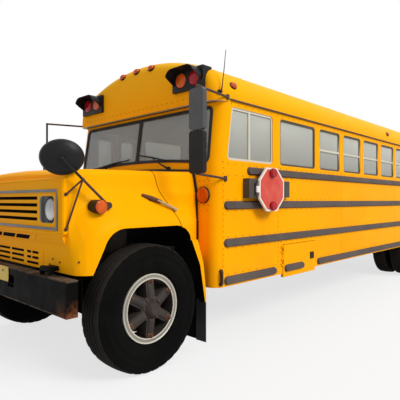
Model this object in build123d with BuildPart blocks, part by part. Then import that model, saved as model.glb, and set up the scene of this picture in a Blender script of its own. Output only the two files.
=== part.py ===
from build123d import *
from math import cos, sin, sqrt, radians
import os

os.makedirs("parts", exist_ok=True)

# Layout along the bus: +X is the bus's left, -Y its front, +Z up, millimetres
FRONT_OVERHANG = 765
WHEELBASE = 6452
REAR_OVERHANG = 3288
LENGTH = FRONT_OVERHANG + WHEELBASE + REAR_OVERHANG
FRONT_Y = -LENGTH / 2
AXLE_F = FRONT_Y + FRONT_OVERHANG
AXLE_R = AXLE_F + WHEELBASE
REAR_Y = LENGTH / 2

# Body shell
BODY_HALF = 1210
WALL = 50
SKIRT_Z = 585
FLOOR_Z = 1000
FLOOR_T = 60
ROOF_Z = 2930
CROWN_R = 2500
SHOULDER_R = 300
SIDE_TOP_Z = 2400
CORNER_R = 110
FRONT_WALL_Y = AXLE_F + 725
HEADER_Y = AXLE_F + 735
SCREEN_LOW_Z = 1700
SCREEN_HIGH_Z = 2365
SCREEN_RAKE = 95
JOIN_LOW_Y = FRONT_WALL_Y + CORNER_R
JOIN_HIGH_Y = JOIN_LOW_Y + SCREEN_RAKE
REAR_BUMPER_DEPTH = 100
REAR_WALL_Y = REAR_Y - REAR_BUMPER_DEPTH
REAR_SPLIT_Y = REAR_WALL_Y - 110
REAR_CORNER_R = 100

# Side windows and pillars
WINDOW_LOW_Z = 1805
WINDOW_HIGH_Z = 2325
WINDOW_R = 45
MEETING_Z = 2057
SASH_COUNT = 10
SASH_PITCH = 691
SASH_WIDTH = 570
FIRST_PILLAR_Y = AXLE_F + 2668
FIXED_WINDOW = (AXLE_F + 1810, AXLE_F + 2608)
DRIVER_WINDOW_END_Y = AXLE_F + 1667
DRIVER_MULLION_Y = AXLE_F + 1250
FRAME_FACE = 22
GLASS_T = 6

# Frame
RAIL_X = 430
RAIL_FLANGE = 75
RAIL_T = 8
RAIL_LOW_Z = 660
RAIL_TOP_Z = 900
CROSS_LOW_Z = 780

# Wheels: tyre 1054 across on a 20 inch rim
TYRE_R = 527
TYRE_HALF = 137
RIM_R = 254
RIM_HALF = 95
FLANGE_R = 284
FRONT_TYRE_X = 1035
KINGPIN_X = 870
DUAL_X = 897.5
DUAL_SPREAD = 157.5
SPOKES = 6
SEAT_FIT = 0.3
PIN_CLEAR = 0.08

# Doors
ENTRANCE = (AXLE_F + 945, AXLE_F + 1685)
ENTRANCE_LOW_Z = 440
ENTRANCE_TOP_Z = 2330
LEAF_T = 40
GAP = 6
EMERGENCY_HALF = 380
EMERGENCY_TOP_Z = 2330
BATTERY = (AXLE_F + 1860, AXLE_F + 2598)
BATTERY_LOW_Z = 545
BATTERY_TOP_Z = 916

# Door hinges: axis x, y, heights, tab on the wall, tab on the door (x0, x1, y0, y1)
HINGE_R = 9
HINGE_PIN_R = 5
HINGE_TAB = 34
HINGE_OUT = HINGE_R + 0.5
BATTERY_OUT = 6
HINGES = {}
for hinge_name, hinge_y, inward, heights in (
    ("entrance_front", ENTRANCE[0] + GAP / 2, 1, (560, 1385, 2210)),
    ("entrance_rear", ENTRANCE[1] - GAP / 2, -1, (560, 1385, 2210)),
):
    hinge_x = -BODY_HALF - HINGE_OUT
    HINGES[hinge_name] = dict(
        axis=(hinge_x, hinge_y), z=heights,
        wall=(hinge_x, -BODY_HALF, hinge_y - inward * HINGE_TAB, hinge_y),
        door=(hinge_x, -BODY_HALF, hinge_y, hinge_y + inward * HINGE_TAB),
    )
HINGES["emergency"] = dict(
    axis=(-EMERGENCY_HALF + GAP / 2, REAR_WALL_Y + HINGE_OUT), z=(1150, 1700, 2200),
    wall=(-EMERGENCY_HALF - HINGE_TAB, -EMERGENCY_HALF + GAP / 2, REAR_WALL_Y, REAR_WALL_Y + HINGE_OUT),
    door=(-EMERGENCY_HALF + GAP / 2, -EMERGENCY_HALF + HINGE_TAB, REAR_WALL_Y, REAR_WALL_Y + HINGE_OUT),
)
BATTERY_HINGE_X = BODY_HALF + BATTERY_OUT + HINGE_OUT
HINGES["battery"] = dict(
    axis=(BATTERY_HINGE_X, BATTERY[0] + GAP / 2), z=(720, 860),
    wall=(BODY_HALF, BATTERY_HINGE_X, BATTERY[0] - HINGE_TAB, BATTERY[0] + GAP / 2),
    door=(BODY_HALF + BATTERY_OUT, BATTERY_HINGE_X, BATTERY[0] + GAP / 2, BATTERY[0] + HINGE_TAB),
)

# Rub rails
RAIL_TALL = 83
RAIL_PROUD = 25


def block(x0, x1, y0, y1, z0, z1, mode=Mode.ADD):
    with Locations(((x0 + x1) / 2, (y0 + y1) / 2, (z0 + z1) / 2)):
        Box(abs(x1 - x0), abs(y1 - y0), abs(z1 - z0), mode=mode)


def rod(p, q, r, mode=Mode.ADD):
    run = Vector(*q) - Vector(*p)
    with Locations(Plane(origin=p, z_dir=run)):
        Cylinder(r, run.length, align=(Align.CENTER, Align.CENTER, Align.MIN), mode=mode)


def ball(p, r, mode=Mode.ADD):
    with Locations(p):
        Sphere(r, mode=mode)


# Hinge halves: the pin with two knuckles on the wall, the barrel on the door
def hinge_wall(hinge):
    x, y = hinge["axis"]
    for z in hinge["z"]:
        for z0, z1 in ((z - 40, z - 21), (z + 21, z + 40)):
            block(*hinge["wall"], z0, z1)
            rod((x, y, z0), (x, y, z1), HINGE_R)
        rod((x, y, z - 40), (x, y, z + 40), HINGE_PIN_R)


def hinge_door(hinge):
    x, y = hinge["axis"]
    for z in hinge["z"]:
        block(*hinge["door"], z - 20, z + 20)
        rod((x, y, z - 20), (x, y, z + 20), HINGE_R)
        rod((x, y, z - 21), (x, y, z + 21), HINGE_PIN_R + PIN_CLEAR, Mode.SUBTRACT)


def save(builder, name):
    builder.part.label = name
    export_step(builder.part, f"parts/{name}.step")


# Cross-section of the body, inset from its outer face
def body_section(inset, y, low_z):
    half = BODY_HALF - inset
    shoulder = SHOULDER_R - inset
    crown = CROWN_R - inset
    cx = BODY_HALF - SHOULDER_R
    crown_z = ROOF_Z - CROWN_R
    cz = crown_z + sqrt((CROWN_R - SHOULDER_R) ** 2 - cx**2)
    ux, uz = cx / (CROWN_R - SHOULDER_R), (cz - crown_z) / (CROWN_R - SHOULDER_R)
    mx, mz = (1 + ux) / 2, uz / 2
    m = sqrt(mx**2 + mz**2)
    tip = (crown * ux, crown_z + crown * uz)
    mid = (cx + shoulder * mx / m, cz + shoulder * mz / m)
    with BuildSketch(Plane.XZ.offset(-y)) as section:
        with BuildLine():
            Line((-half, low_z), (half, low_z))
            if low_z < cz:
                Line((half, low_z), (half, cz))
                Line((-half, cz), (-half, low_z))
            ThreePointArc((half, cz), mid, tip)
            ThreePointArc(tip, (0, crown_z + crown), (-tip[0], tip[1]))
            ThreePointArc((-tip[0], tip[1]), (-mid[0], mid[1]), (-half, cz))
        make_face()
    return section.sketch


# Plan of the front end, inset from its outer face
def front_plan(inset, front_y, z):
    half = BODY_HALF - inset
    y0, y1 = front_y + inset, JOIN_HIGH_Y + 40
    r = CORNER_R - inset
    with BuildSketch(Plane.XY.offset(z)) as plan:
        with BuildLine():
            FilletPolyline(
                (-half, y1), (half, y1), (half, y0), (-half, y0),
                radius=[0, 0, r, r], close=True,
            )
        make_face()
    return plan.sketch


# Raked band of the front end, where the windscreen sits
def screen_band(inset):
    with BuildPart() as band:
        loft(
            [
                front_plan(inset, FRONT_WALL_Y, SCREEN_LOW_Z),
                front_plan(inset, FRONT_WALL_Y + SCREEN_RAKE, SCREEN_HIGH_Z),
            ],
            ruled=True,
        )
    return band.part


# Whole outer form of the body, or its hollow when inset
def envelope(inset):
    low = SKIRT_Z - inset
    back = REAR_WALL_Y - inset
    with BuildPart() as body:
        extrude(body_section(inset, JOIN_HIGH_Y, low), amount=back - JOIN_HIGH_Y, dir=(0, 1, 0))
        rear = body.faces().sort_by(Axis.Y)[-1].edges()
        fillet([e for e in rear if e.center().Z > low + 50], REAR_CORNER_R - inset)
        with BuildPart(mode=Mode.PRIVATE) as brow:
            extrude(
                body_section(inset, HEADER_Y + inset, SCREEN_HIGH_Z),
                amount=JOIN_HIGH_Y + 40 - HEADER_Y - inset,
                dir=(0, 1, 0),
            )
            lead = brow.faces().sort_by(Axis.Y)[0].edges()
            fillet([e for e in lead if e.center().Z > SCREEN_HIGH_Z + 5], CORNER_R - inset)
        add(brow.part)
        add(screen_band(inset))
        extrude(front_plan(inset, FRONT_WALL_Y, low), amount=SCREEN_LOW_Z - low, dir=(0, 0, 1))
    return body.part


outer = envelope(0)
inner = envelope(WALL)

with BuildPart() as shell:
    add(outer)
    add(inner, mode=Mode.SUBTRACT)

# Side profile of the joint between the front piece and the sides
with BuildPart() as front_zone:
    with BuildSketch(Plane.YZ.offset(-2000)):
        with BuildLine():
            Polyline(
                (FRONT_Y, 300), (JOIN_LOW_Y, 300), (JOIN_LOW_Y, SCREEN_LOW_Z),
                (JOIN_HIGH_Y, SCREEN_HIGH_Z), (JOIN_HIGH_Y, 3200), (FRONT_Y, 3200), close=True,
            )
        make_face()
    extrude(amount=4000)

# Windscreen outline: half panes about a centre bar
SCREEN_HALF_LOW = 1116
SCREEN_HALF_HIGH = 1100
SCREEN_EDGE_Z = 1757
SCREEN_MID_Z = 1822
SCREEN_TOP_Z = 2335
SCREEN_RUBBER = 32
SCREEN_BAR = 22


def screen_outline(grow):
    with BuildSketch(Plane.XZ.offset(-FRONT_Y)) as outline:
        with BuildLine():
            a = (-SCREEN_HALF_LOW - grow, SCREEN_EDGE_Z - grow)
            b = (SCREEN_HALF_LOW + grow, SCREEN_EDGE_Z - grow)
            c = (SCREEN_HALF_HIGH + grow, SCREEN_TOP_Z + grow)
            d = (-SCREEN_HALF_HIGH - grow, SCREEN_TOP_Z + grow)
            ThreePointArc(a, (0, SCREEN_MID_Z - grow), b)
            Line(b, c)
            Line(c, d)
            Line(d, a)
        make_face()
        fillet(outline.vertices(), 70 + grow)
    return outline.sketch


# Front wall, open below where the frame passes
with BuildPart() as front_wall:
    add(shell.part)
    add(front_zone.part, mode=Mode.INTERSECT)
    extrude(screen_outline(0), amount=2000, dir=(0, 1, 0), mode=Mode.SUBTRACT)
    block(-650, 650, FRONT_WALL_Y - 50, JOIN_LOW_Y + 50, 400, FLOOR_Z - FLOOR_T, Mode.SUBTRACT)
save(front_wall, "front_wall")

with BuildPart() as windscreen_rubber:
    add(screen_band(-8))
    add(screen_band(24), mode=Mode.SUBTRACT)
    with BuildPart(mode=Mode.INTERSECT):
        extrude(screen_outline(0), amount=2000, dir=(0, 1, 0))
        with BuildPart(mode=Mode.PRIVATE) as panes_cut:
            extrude(screen_outline(-SCREEN_RUBBER), amount=2000, dir=(0, 1, 0))
            block(-SCREEN_BAR, SCREEN_BAR, FRONT_Y, FRONT_Y + 2000, 1000, 3000, Mode.SUBTRACT)
        add(panes_cut.part, mode=Mode.SUBTRACT)
        block(-2000, 2000, FRONT_Y, JOIN_HIGH_Y, SCREEN_LOW_Z, SCREEN_HIGH_Z, Mode.INTERSECT)
save(windscreen_rubber, "windscreen_rubber")

with BuildPart() as windscreen:
    add(screen_band(6))
    add(screen_band(6 + GLASS_T), mode=Mode.SUBTRACT)
    add(panes_cut.part, mode=Mode.INTERSECT)
    block(-2000, 2000, FRONT_Y, JOIN_HIGH_Y, SCREEN_LOW_Z, SCREEN_HIGH_Z, Mode.INTERSECT)
save(windscreen, "windscreen")

# Rear wheel opening in the sides
ARCH_R = 610
ARCH_TOP_Z = 1125


# Window openings of one side: centre y, width, kind
def sash_centres():
    return [FIRST_PILLAR_Y + (i + 0.5) * SASH_PITCH for i in range(SASH_COUNT)]


def window_rects():
    rects = [((FIXED_WINDOW[0] + FIXED_WINDOW[1]) / 2, FIXED_WINDOW[1] - FIXED_WINDOW[0], "fixed")]
    return rects + [(y, SASH_WIDTH, "sash") for y in sash_centres()]


def driver_outline(inset):
    lean = SCREEN_RAKE / (SCREEN_HIGH_Z - SCREEN_LOW_Z)
    low, high = WINDOW_LOW_Z + inset, WINDOW_HIGH_Z - inset
    front = JOIN_LOW_Y + 35 + inset
    r = WINDOW_R - inset
    return [
        (front + (low - SCREEN_LOW_Z) * lean, low), (DRIVER_WINDOW_END_Y - inset, low),
        (DRIVER_WINDOW_END_Y - inset, high), (front + (high - SCREEN_LOW_Z) * lean, high),
    ], r


SIDES = [("left", 1), ("right", -1)]
WINDOW_MID_Z = (WINDOW_LOW_Z + WINDOW_HIGH_Z) / 2
WINDOW_TALL = WINDOW_HIGH_Z - WINDOW_LOW_Z

for side_name, side in SIDES:
    with BuildPart() as side_wall:
        add(shell.part)
        add(front_zone.part, mode=Mode.SUBTRACT)
        x0, x1 = sorted((side * 900, side * 1300))
        block(x0, x1, JOIN_LOW_Y, REAR_SPLIT_Y, SKIRT_Z - 20, SIDE_TOP_Z, Mode.INTERSECT)
        with BuildSketch(Plane.YZ.offset(min(x0, x1))):
            for y, width, kind in window_rects():
                with Locations((y, WINDOW_MID_Z)):
                    RectangleRounded(width, WINDOW_TALL, WINDOW_R)
            with Locations((AXLE_R, TYRE_R)):
                Circle(ARCH_R)
            with Locations((AXLE_R, 300)):
                Rectangle(2 * ARCH_R, 2 * (TYRE_R - 300))
            if side > 0:
                with BuildLine():
                    points, r = driver_outline(0)
                    FilletPolyline(*points, radius=r, close=True)
                make_face()
                with Locations(((BATTERY[0] + BATTERY[1]) / 2, (500 + BATTERY_TOP_Z) / 2)):
                    Rectangle(BATTERY[1] - BATTERY[0], BATTERY_TOP_Z - 500)
            else:
                with Locations(((ENTRANCE[0] + ENTRANCE[1]) / 2, (300 + ENTRANCE_TOP_Z) / 2)):
                    Rectangle(ENTRANCE[1] - ENTRANCE[0], ENTRANCE_TOP_Z - 300)
        extrude(amount=400, mode=Mode.SUBTRACT)
        for hinge_name in ["battery"] if side > 0 else ["entrance_front", "entrance_rear"]:
            hinge_wall(HINGES[hinge_name])
    save(side_wall, f"side_{side_name}")

with BuildPart() as roof:
    add(shell.part)
    block(-1300, 1300, JOIN_HIGH_Y, REAR_SPLIT_Y, SIDE_TOP_Z, 3200, Mode.INTERSECT)
save(roof, "roof")

# Rear wall with the emergency doorway and two fixed windows
REAR_WINDOW = (470, 1010)
with BuildPart() as rear_wall:
    add(shell.part)
    block(-1300, 1300, REAR_SPLIT_Y, REAR_Y, 0, 3200, Mode.INTERSECT)
    with BuildSketch(Plane.XZ.offset(-REAR_Y)):
        with Locations((0, (FLOOR_Z + EMERGENCY_TOP_Z) / 2)):
            Rectangle(2 * EMERGENCY_HALF, EMERGENCY_TOP_Z - FLOOR_Z)
        for side_name, side in SIDES:
            with Locations((side * sum(REAR_WINDOW) / 2, WINDOW_MID_Z)):
                RectangleRounded(REAR_WINDOW[1] - REAR_WINDOW[0], WINDOW_TALL, WINDOW_R)
    extrude(amount=300, mode=Mode.SUBTRACT)
    hinge_wall(HINGES["emergency"])
save(rear_wall, "rear_wall")

# Sash frames and side glass, set in from the outer face
FRAME_IN = 8
FRAME_DEEP = 34
with BuildPart() as window_sashes:
    for side_name, side in SIDES:
        with BuildSketch(Plane.YZ.offset(side * (BODY_HALF - FRAME_IN))):
            for y, width, kind in window_rects():
                with Locations((y, WINDOW_MID_Z)):
                    RectangleRounded(width, WINDOW_TALL, WINDOW_R)
                    RectangleRounded(
                        width - 2 * FRAME_FACE, WINDOW_TALL - 2 * FRAME_FACE,
                        WINDOW_R - FRAME_FACE, mode=Mode.SUBTRACT,
                    )
                if kind == "sash":
                    with Locations((y, MEETING_Z)):
                        Rectangle(width - 2 * FRAME_FACE + 2, 26)
            if side > 0:
                with BuildLine():
                    points, r = driver_outline(0)
                    FilletPolyline(*points, radius=r, close=True)
                make_face()
                with BuildLine():
                    points, r = driver_outline(FRAME_FACE)
                    FilletPolyline(*points, radius=r, close=True)
                make_face(mode=Mode.SUBTRACT)
                with Locations((DRIVER_MULLION_Y, WINDOW_MID_Z)):
                    Rectangle(30, WINDOW_TALL - 2 * FRAME_FACE + 2)
        extrude(amount=-side * FRAME_DEEP)
save(window_sashes, "window_sashes")

# Panes of one side: y low, y high, z low, z high
with BuildPart() as side_glass:
    for side_name, side in SIDES:
        panes = []
        for y, width, kind in window_rects():
            half = width / 2 - FRAME_FACE
            low, high = WINDOW_LOW_Z + FRAME_FACE, WINDOW_HIGH_Z - FRAME_FACE
            if kind == "sash":
                panes.append((y - half, y + half, low, MEETING_Z - 13))
                panes.append((y - half, y + half, MEETING_Z + 13, high))
            else:
                panes.append((y - half, y + half, low, high))
        for y0, y1, z0, z1 in panes:
            with BuildSketch(Plane.YZ.offset(side * (BODY_HALF - FRAME_IN - 12))):
                with Locations(((y0 + y1) / 2, (z0 + z1) / 2)):
                    RectangleRounded(y1 - y0, z1 - z0, WINDOW_R - FRAME_FACE)
            extrude(amount=-side * GLASS_T)
        if side > 0:
            points, r = driver_outline(FRAME_FACE)
            for cut0, cut1 in [(DRIVER_MULLION_Y - 15, 1e4), (-1e4, DRIVER_MULLION_Y + 15)]:
                with BuildSketch(Plane.YZ.offset(BODY_HALF - FRAME_IN - 12)):
                    with BuildLine():
                        FilletPolyline(*points, radius=r, close=True)
                    make_face()
                    with Locations(((cut0 + cut1) / 2, WINDOW_MID_Z)):
                        Rectangle(cut1 - cut0, 2000, mode=Mode.SUBTRACT)
                extrude(amount=-GLASS_T)
    for side_name, side in SIDES:
        with BuildSketch(Plane.XZ.offset(-(REAR_WALL_Y - 22))):
            with Locations((side * sum(REAR_WINDOW) / 2, WINDOW_MID_Z)):
                RectangleRounded(REAR_WINDOW[1] - REAR_WINDOW[0], WINDOW_TALL, WINDOW_R)
        extrude(amount=GLASS_T)
save(side_glass, "side_glass")

# Rub rails: side, centre z, y from, y to
RAILS = [
    (1, 1712, 1200, 9510), (1, 1365, 838, 9510),
    (1, 1003, 837, 5820), (1, 1003, 7084, 9510),
    (1, 642, 838, 1723), (1, 642, 2657, 5820), (1, 642, 7084, 9510),
    (-1, 1712, 1740, 9510), (-1, 1365, 1740, 9510),
    (-1, 1003, 1740, 5820), (-1, 1003, 7084, 9510),
    (-1, 642, 1740, 5820), (-1, 642, 7084, 9510),
]


def rub_rail(side, z, y0, y1, x):
    with BuildSketch(Plane.YZ.offset(side * x)) as foot:
        with Locations(((y0 + y1) / 2, z)):
            SlotOverall(y1 - y0, RAIL_TALL)
    with BuildSketch(Plane.YZ.offset(side * (x + RAIL_PROUD))) as top:
        with Locations(((y0 + y1) / 2, z)):
            SlotOverall(y1 - y0 - 24, RAIL_TALL - 24)
    loft([foot.sketch, top.sketch], ruled=True)


with BuildPart() as rub_rails:
    for side, z, y0, y1 in RAILS:
        rub_rail(side, z, AXLE_F + y0, AXLE_F + y1, BODY_HALF)
save(rub_rails, "rub_rails")

# Floor with sills, wheelhouses and the entrance steps
STEP_X = (-1160, -930, -700)
STEP_Z = (ENTRANCE_LOW_Z - 20, 700)
HOUSE_R = 640
FLOOR_FRONT_Y = FRONT_WALL_Y + WALL
FLOOR_BACK_Y = REAR_WALL_Y - WALL
FLOOR_HALF = BODY_HALF - WALL
HOUSE_X = 560
with BuildPart() as floor:
    block(-FLOOR_HALF, FLOOR_HALF, JOIN_LOW_Y, REAR_SPLIT_Y, FLOOR_Z - FLOOR_T, FLOOR_Z)
    block(-FLOOR_HALF + 70, FLOOR_HALF - 70, FLOOR_FRONT_Y, FLOOR_BACK_Y, FLOOR_Z - FLOOR_T, FLOOR_Z)
    for side_name, side in SIDES:
        x0, x1 = sorted((side * (RAIL_X - RAIL_FLANGE), side * RAIL_X))
        block(x0, x1, FLOOR_FRONT_Y + 30, FLOOR_BACK_Y, RAIL_TOP_Z, FLOOR_Z - FLOOR_T)
        x0, x1 = sorted((side * HOUSE_X, side * FLOOR_HALF))
        with BuildSketch(Plane.YZ.offset(x0)):
            with Locations((AXLE_R, TYRE_R)):
                Circle(HOUSE_R)
            with Locations((AXLE_R, 0)):
                Rectangle(2 * HOUSE_R, 2 * 760, mode=Mode.SUBTRACT)
        extrude(amount=x1 - x0)
        hx0, hx1 = sorted((side * (HOUSE_X + 12), side * FLOOR_HALF))
        with BuildSketch(Plane.YZ.offset(hx0)):
            with Locations((AXLE_R, TYRE_R)):
                Circle(HOUSE_R - 12)
        extrude(amount=hx1 - hx0, mode=Mode.SUBTRACT)
    block(STEP_X[0], STEP_X[2], ENTRANCE[0] - 12, ENTRANCE[1] + 12, STEP_Z[0], FLOOR_Z)
    block(STEP_X[0], STEP_X[1], ENTRANCE[0], ENTRANCE[1], STEP_Z[0] + 20, FLOOR_Z + 9, Mode.SUBTRACT)
    block(STEP_X[0], STEP_X[2], ENTRANCE[0], ENTRANCE[1], STEP_Z[1] + 20, FLOOR_Z + 9, Mode.SUBTRACT)
    block(STEP_X[1] + 20, STEP_X[2], ENTRANCE[0], ENTRANCE[1], STEP_Z[0] - 9, STEP_Z[1], Mode.SUBTRACT)
save(floor, "floor")

# Chassis frame: two channel rails, crossmembers, horns, hangers
RAIL_FRONT_Y = AXLE_F - 660
RAIL_BACK_Y = REAR_WALL_Y - WALL
# Notch in the rail ends for the hood's lower edge: length, height it starts at
RAIL_NOTCH = (30, 860)
CROSS_Y =[-560, 1320, 2300, 3900, 5200, 5750, 7250, 8300, 9400]
FRONT_SPRING = dict(x=RAIL_X - 35, y=AXLE_F, half=620, sag=80, low_z=500, leaves=5)
REAR_SPRING = dict(x=515, y=AXLE_R, half=700, sag=60, low_z=610, leaves=7)
LEAF = 12
LEAF_W = 70
BUMPER_BACK_Y = AXLE_F - 675
with BuildPart() as chassis_frame:
    for side_name, side in SIDES:
        x0, x1 = sorted((side * (RAIL_X - RAIL_FLANGE), side * RAIL_X))
        block(x0, x1, RAIL_FRONT_Y, RAIL_BACK_Y, RAIL_LOW_Z, RAIL_TOP_Z)
        x0, x1 = sorted((side * (RAIL_X - RAIL_FLANGE - 1), side * (RAIL_X - RAIL_T)))
        block(x0, x1, RAIL_FRONT_Y - 1, RAIL_BACK_Y + 1, RAIL_LOW_Z + RAIL_T, RAIL_TOP_Z - RAIL_T, Mode.SUBTRACT)
    block(-RAIL_X - 1, RAIL_X + 1, RAIL_FRONT_Y - 1, RAIL_FRONT_Y + RAIL_NOTCH[0], RAIL_NOTCH[1], RAIL_TOP_Z + 1, Mode.SUBTRACT)
    for y in CROSS_Y:
        x = RAIL_X - RAIL_T
        block(-x, x, AXLE_F + y - 60, AXLE_F + y + 60, CROSS_LOW_Z, RAIL_TOP_Z - RAIL_T)
        block(-x, x, AXLE_F + y - 52, AXLE_F + y + 52, CROSS_LOW_Z - 1, RAIL_TOP_Z - 2 * RAIL_T, Mode.SUBTRACT)
    for side_name, side in SIDES:
        x0, x1 = sorted((side * (RAIL_X - 70), side * RAIL_X))
        block(x0, x1, AXLE_F - 753, RAIL_FRONT_Y + 40, 700, 830)
        for spring, dy in [(FRONT_SPRING, -1), (FRONT_SPRING, 1), (REAR_SPRING, -1), (REAR_SPRING, 1)]:
            tip_z = spring["low_z"] + spring["leaves"] * LEAF + spring["sag"]
            y0, y1 = sorted((spring["y"] + dy * (spring["half"] - 40), spring["y"] + dy * (spring["half"] + 30)))
            xs = sorted((side * min(spring["x"] - 35, RAIL_X), side * (spring["x"] + 35)))
            block(xs[0], xs[1], y0, y1, tip_z, max(tip_z + 40, RAIL_LOW_Z + RAIL_T))
save(chassis_frame, "chassis_frame")

with BuildPart() as leaf_springs:
    for side_name, side in SIDES:
        for spring in (FRONT_SPRING, REAR_SPRING):
            half, sag = spring["half"], spring["sag"]
            bend = (half**2 + sag**2) / (2 * sag)
            mid_z = spring["low_z"] + spring["leaves"] * LEAF + bend
            for i in range(spring["leaves"]):
                turn = (1 - 0.12 * i) * sqrt(1 - ((bend - sag) / bend) ** 2)
                with BuildSketch(Plane.YZ.offset(side * spring["x"])):
                    with BuildLine():
                        for r in (bend + i * LEAF, bend + (i + 1) * LEAF):
                            reach, drop = r * turn, r * sqrt(1 - turn**2)
                            ThreePointArc(
                                (spring["y"] - reach, mid_z - drop), (spring["y"], mid_z - r),
                                (spring["y"] + reach, mid_z - drop),
                            )
                        for s in (-1, 1):
                            Line(
                                *[(spring["y"] + s * r * turn, mid_z - r * sqrt(1 - turn**2))
                                  for r in (bend + i * LEAF, bend + (i + 1) * LEAF)]
                            )
                    make_face()
                extrude(amount=LEAF_W / 2, both=True)
save(leaf_springs, "leaf_springs")

# Engine as one plain block with its gearbox
with BuildPart() as engine:
    block(-300, 300, AXLE_F - 420, AXLE_F + 380, 620, 1250)
    block(-170, 170, AXLE_F + 380, AXLE_F + 1080, 600, 890)
    for side_name, side in SIDES:
        x0, x1 = sorted((side * 290, side * (RAIL_X - RAIL_T)))
        block(x0, x1, AXLE_F - 150, AXLE_F - 40, 720, 800)
save(engine, "engine")

SHAFT_R = 45
SHAFT_FRONT = (0, AXLE_F + 1080, 720)
SHAFT_BACK = (0, AXLE_R - 300, TYRE_R + 20)
with BuildPart() as driveline:
    rod(SHAFT_FRONT, SHAFT_BACK, SHAFT_R)
    block(-99, 99, AXLE_F + 900, AXLE_F + 1080, 600, 890, Mode.SUBTRACT)
    rod((0, AXLE_F + 1080, 720), (0, AXLE_F + 1180, 720), 65)
    block(-40, 40, AXLE_R - 300, AXLE_R - 200, TYRE_R - 40, TYRE_R + 60)
save(driveline, "driveline")

with BuildPart() as exhaust:
    rod((-240, AXLE_F + 380, 650), (-240, AXLE_F + 9540, 650), 38)
    rod((-240, AXLE_F + 2600, 650), (-240, AXLE_F + 3600, 650), 105)
save(exhaust, "exhaust")

with BuildPart() as fuel_tank:
    with BuildSketch(Plane.XZ.offset(-(AXLE_F + 2700))):
        with Locations((-845, 745)):
            RectangleRounded(570, 280, 60)
    extrude(amount=-1200)
    for y in (AXLE_F + 2900, AXLE_F + 3700):
        block(-600, -RAIL_X, y - 40, y + 40, 700, 860)
save(fuel_tank, "fuel_tank")

# Bumpers: channels open towards the bus
BUMPER_HALF = 1150
BUMPER_LOW_Z = 591
BUMPER_TOP_Z = 852
PIVOT_Y = AXLE_F - 733
PIVOT_Z = 900
PIVOT_X = (735, 865)
PLATE_BOLT_X = 89
PLATE_BOLT_Z = 815
PLATE_BOLT_R = 4
with BuildPart() as front_bumper:
    block(-BUMPER_HALF, BUMPER_HALF, FRONT_Y, BUMPER_BACK_Y, BUMPER_LOW_Z, BUMPER_TOP_Z)
    block(-BUMPER_HALF + 12, BUMPER_HALF - 12, FRONT_Y + 12, BUMPER_BACK_Y + 9, BUMPER_LOW_Z + 12, BUMPER_TOP_Z - 12, Mode.SUBTRACT)
    for side_name, side in SIDES:
        x0, x1 = sorted((side * 180, side * 300))
        block(x0, x1, FRONT_Y - 9, FRONT_Y + 20, 690, 790, Mode.SUBTRACT)
        for x in PIVOT_X:
            block(side * x - 6, side * x + 6, PIVOT_Y - 20, PIVOT_Y + 20, BUMPER_TOP_Z - 6, PIVOT_Z)
            rod((side * x - 6, PIVOT_Y, PIVOT_Z), (side * x + 6, PIVOT_Y, PIVOT_Z), 20)
        rod((side * PIVOT_X[0], PIVOT_Y, PIVOT_Z), (side * PIVOT_X[1], PIVOT_Y, PIVOT_Z), 10)
        rod((side * PLATE_BOLT_X, FRONT_Y - 5, PLATE_BOLT_Z), (side * PLATE_BOLT_X, FRONT_Y + 30, PLATE_BOLT_Z), PLATE_BOLT_R, Mode.SUBTRACT)
save(front_bumper, "front_bumper")

with BuildPart() as rear_bumper:
    block(-BUMPER_HALF, BUMPER_HALF, REAR_WALL_Y, REAR_Y, 610, 850)
    block(-BUMPER_HALF + 12, BUMPER_HALF - 12, REAR_WALL_Y - 9, REAR_Y - 12, 622, 838, Mode.SUBTRACT)
save(rear_bumper, "rear_bumper")

# Front axle beam with king pin eyes
EYE_R = 45
PIN_R = 20
EYE_Z = (472, 582)
with BuildPart() as front_axle:
    with BuildSketch(Plane.XZ.offset(-AXLE_F)) as beam:
        with BuildLine():
            Polyline(
                (-840, 560), (-840, 490), (-600, 395), (600, 395), (840, 490), (840, 560),
                (590, 500), (-590, 500), close=True,
            )
        make_face()
    extrude(amount=45, both=True)
    for y in (AXLE_F - 45, AXLE_F + 45):
        with BuildSketch(Plane.XZ.offset(-y)):
            add(offset(beam.sketch_local, -18, mode=Mode.PRIVATE))
        extrude(amount=30, both=True, mode=Mode.SUBTRACT)
    for side_name, side in SIDES:
        rod((side * KINGPIN_X, AXLE_F, EYE_Z[0]), (side * KINGPIN_X, AXLE_F, EYE_Z[1]), EYE_R)
        rod((side * KINGPIN_X, AXLE_F, 400), (side * KINGPIN_X, AXLE_F, 700), PIN_R + PIN_CLEAR, Mode.SUBTRACT)
save(front_axle, "front_axle")

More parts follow.
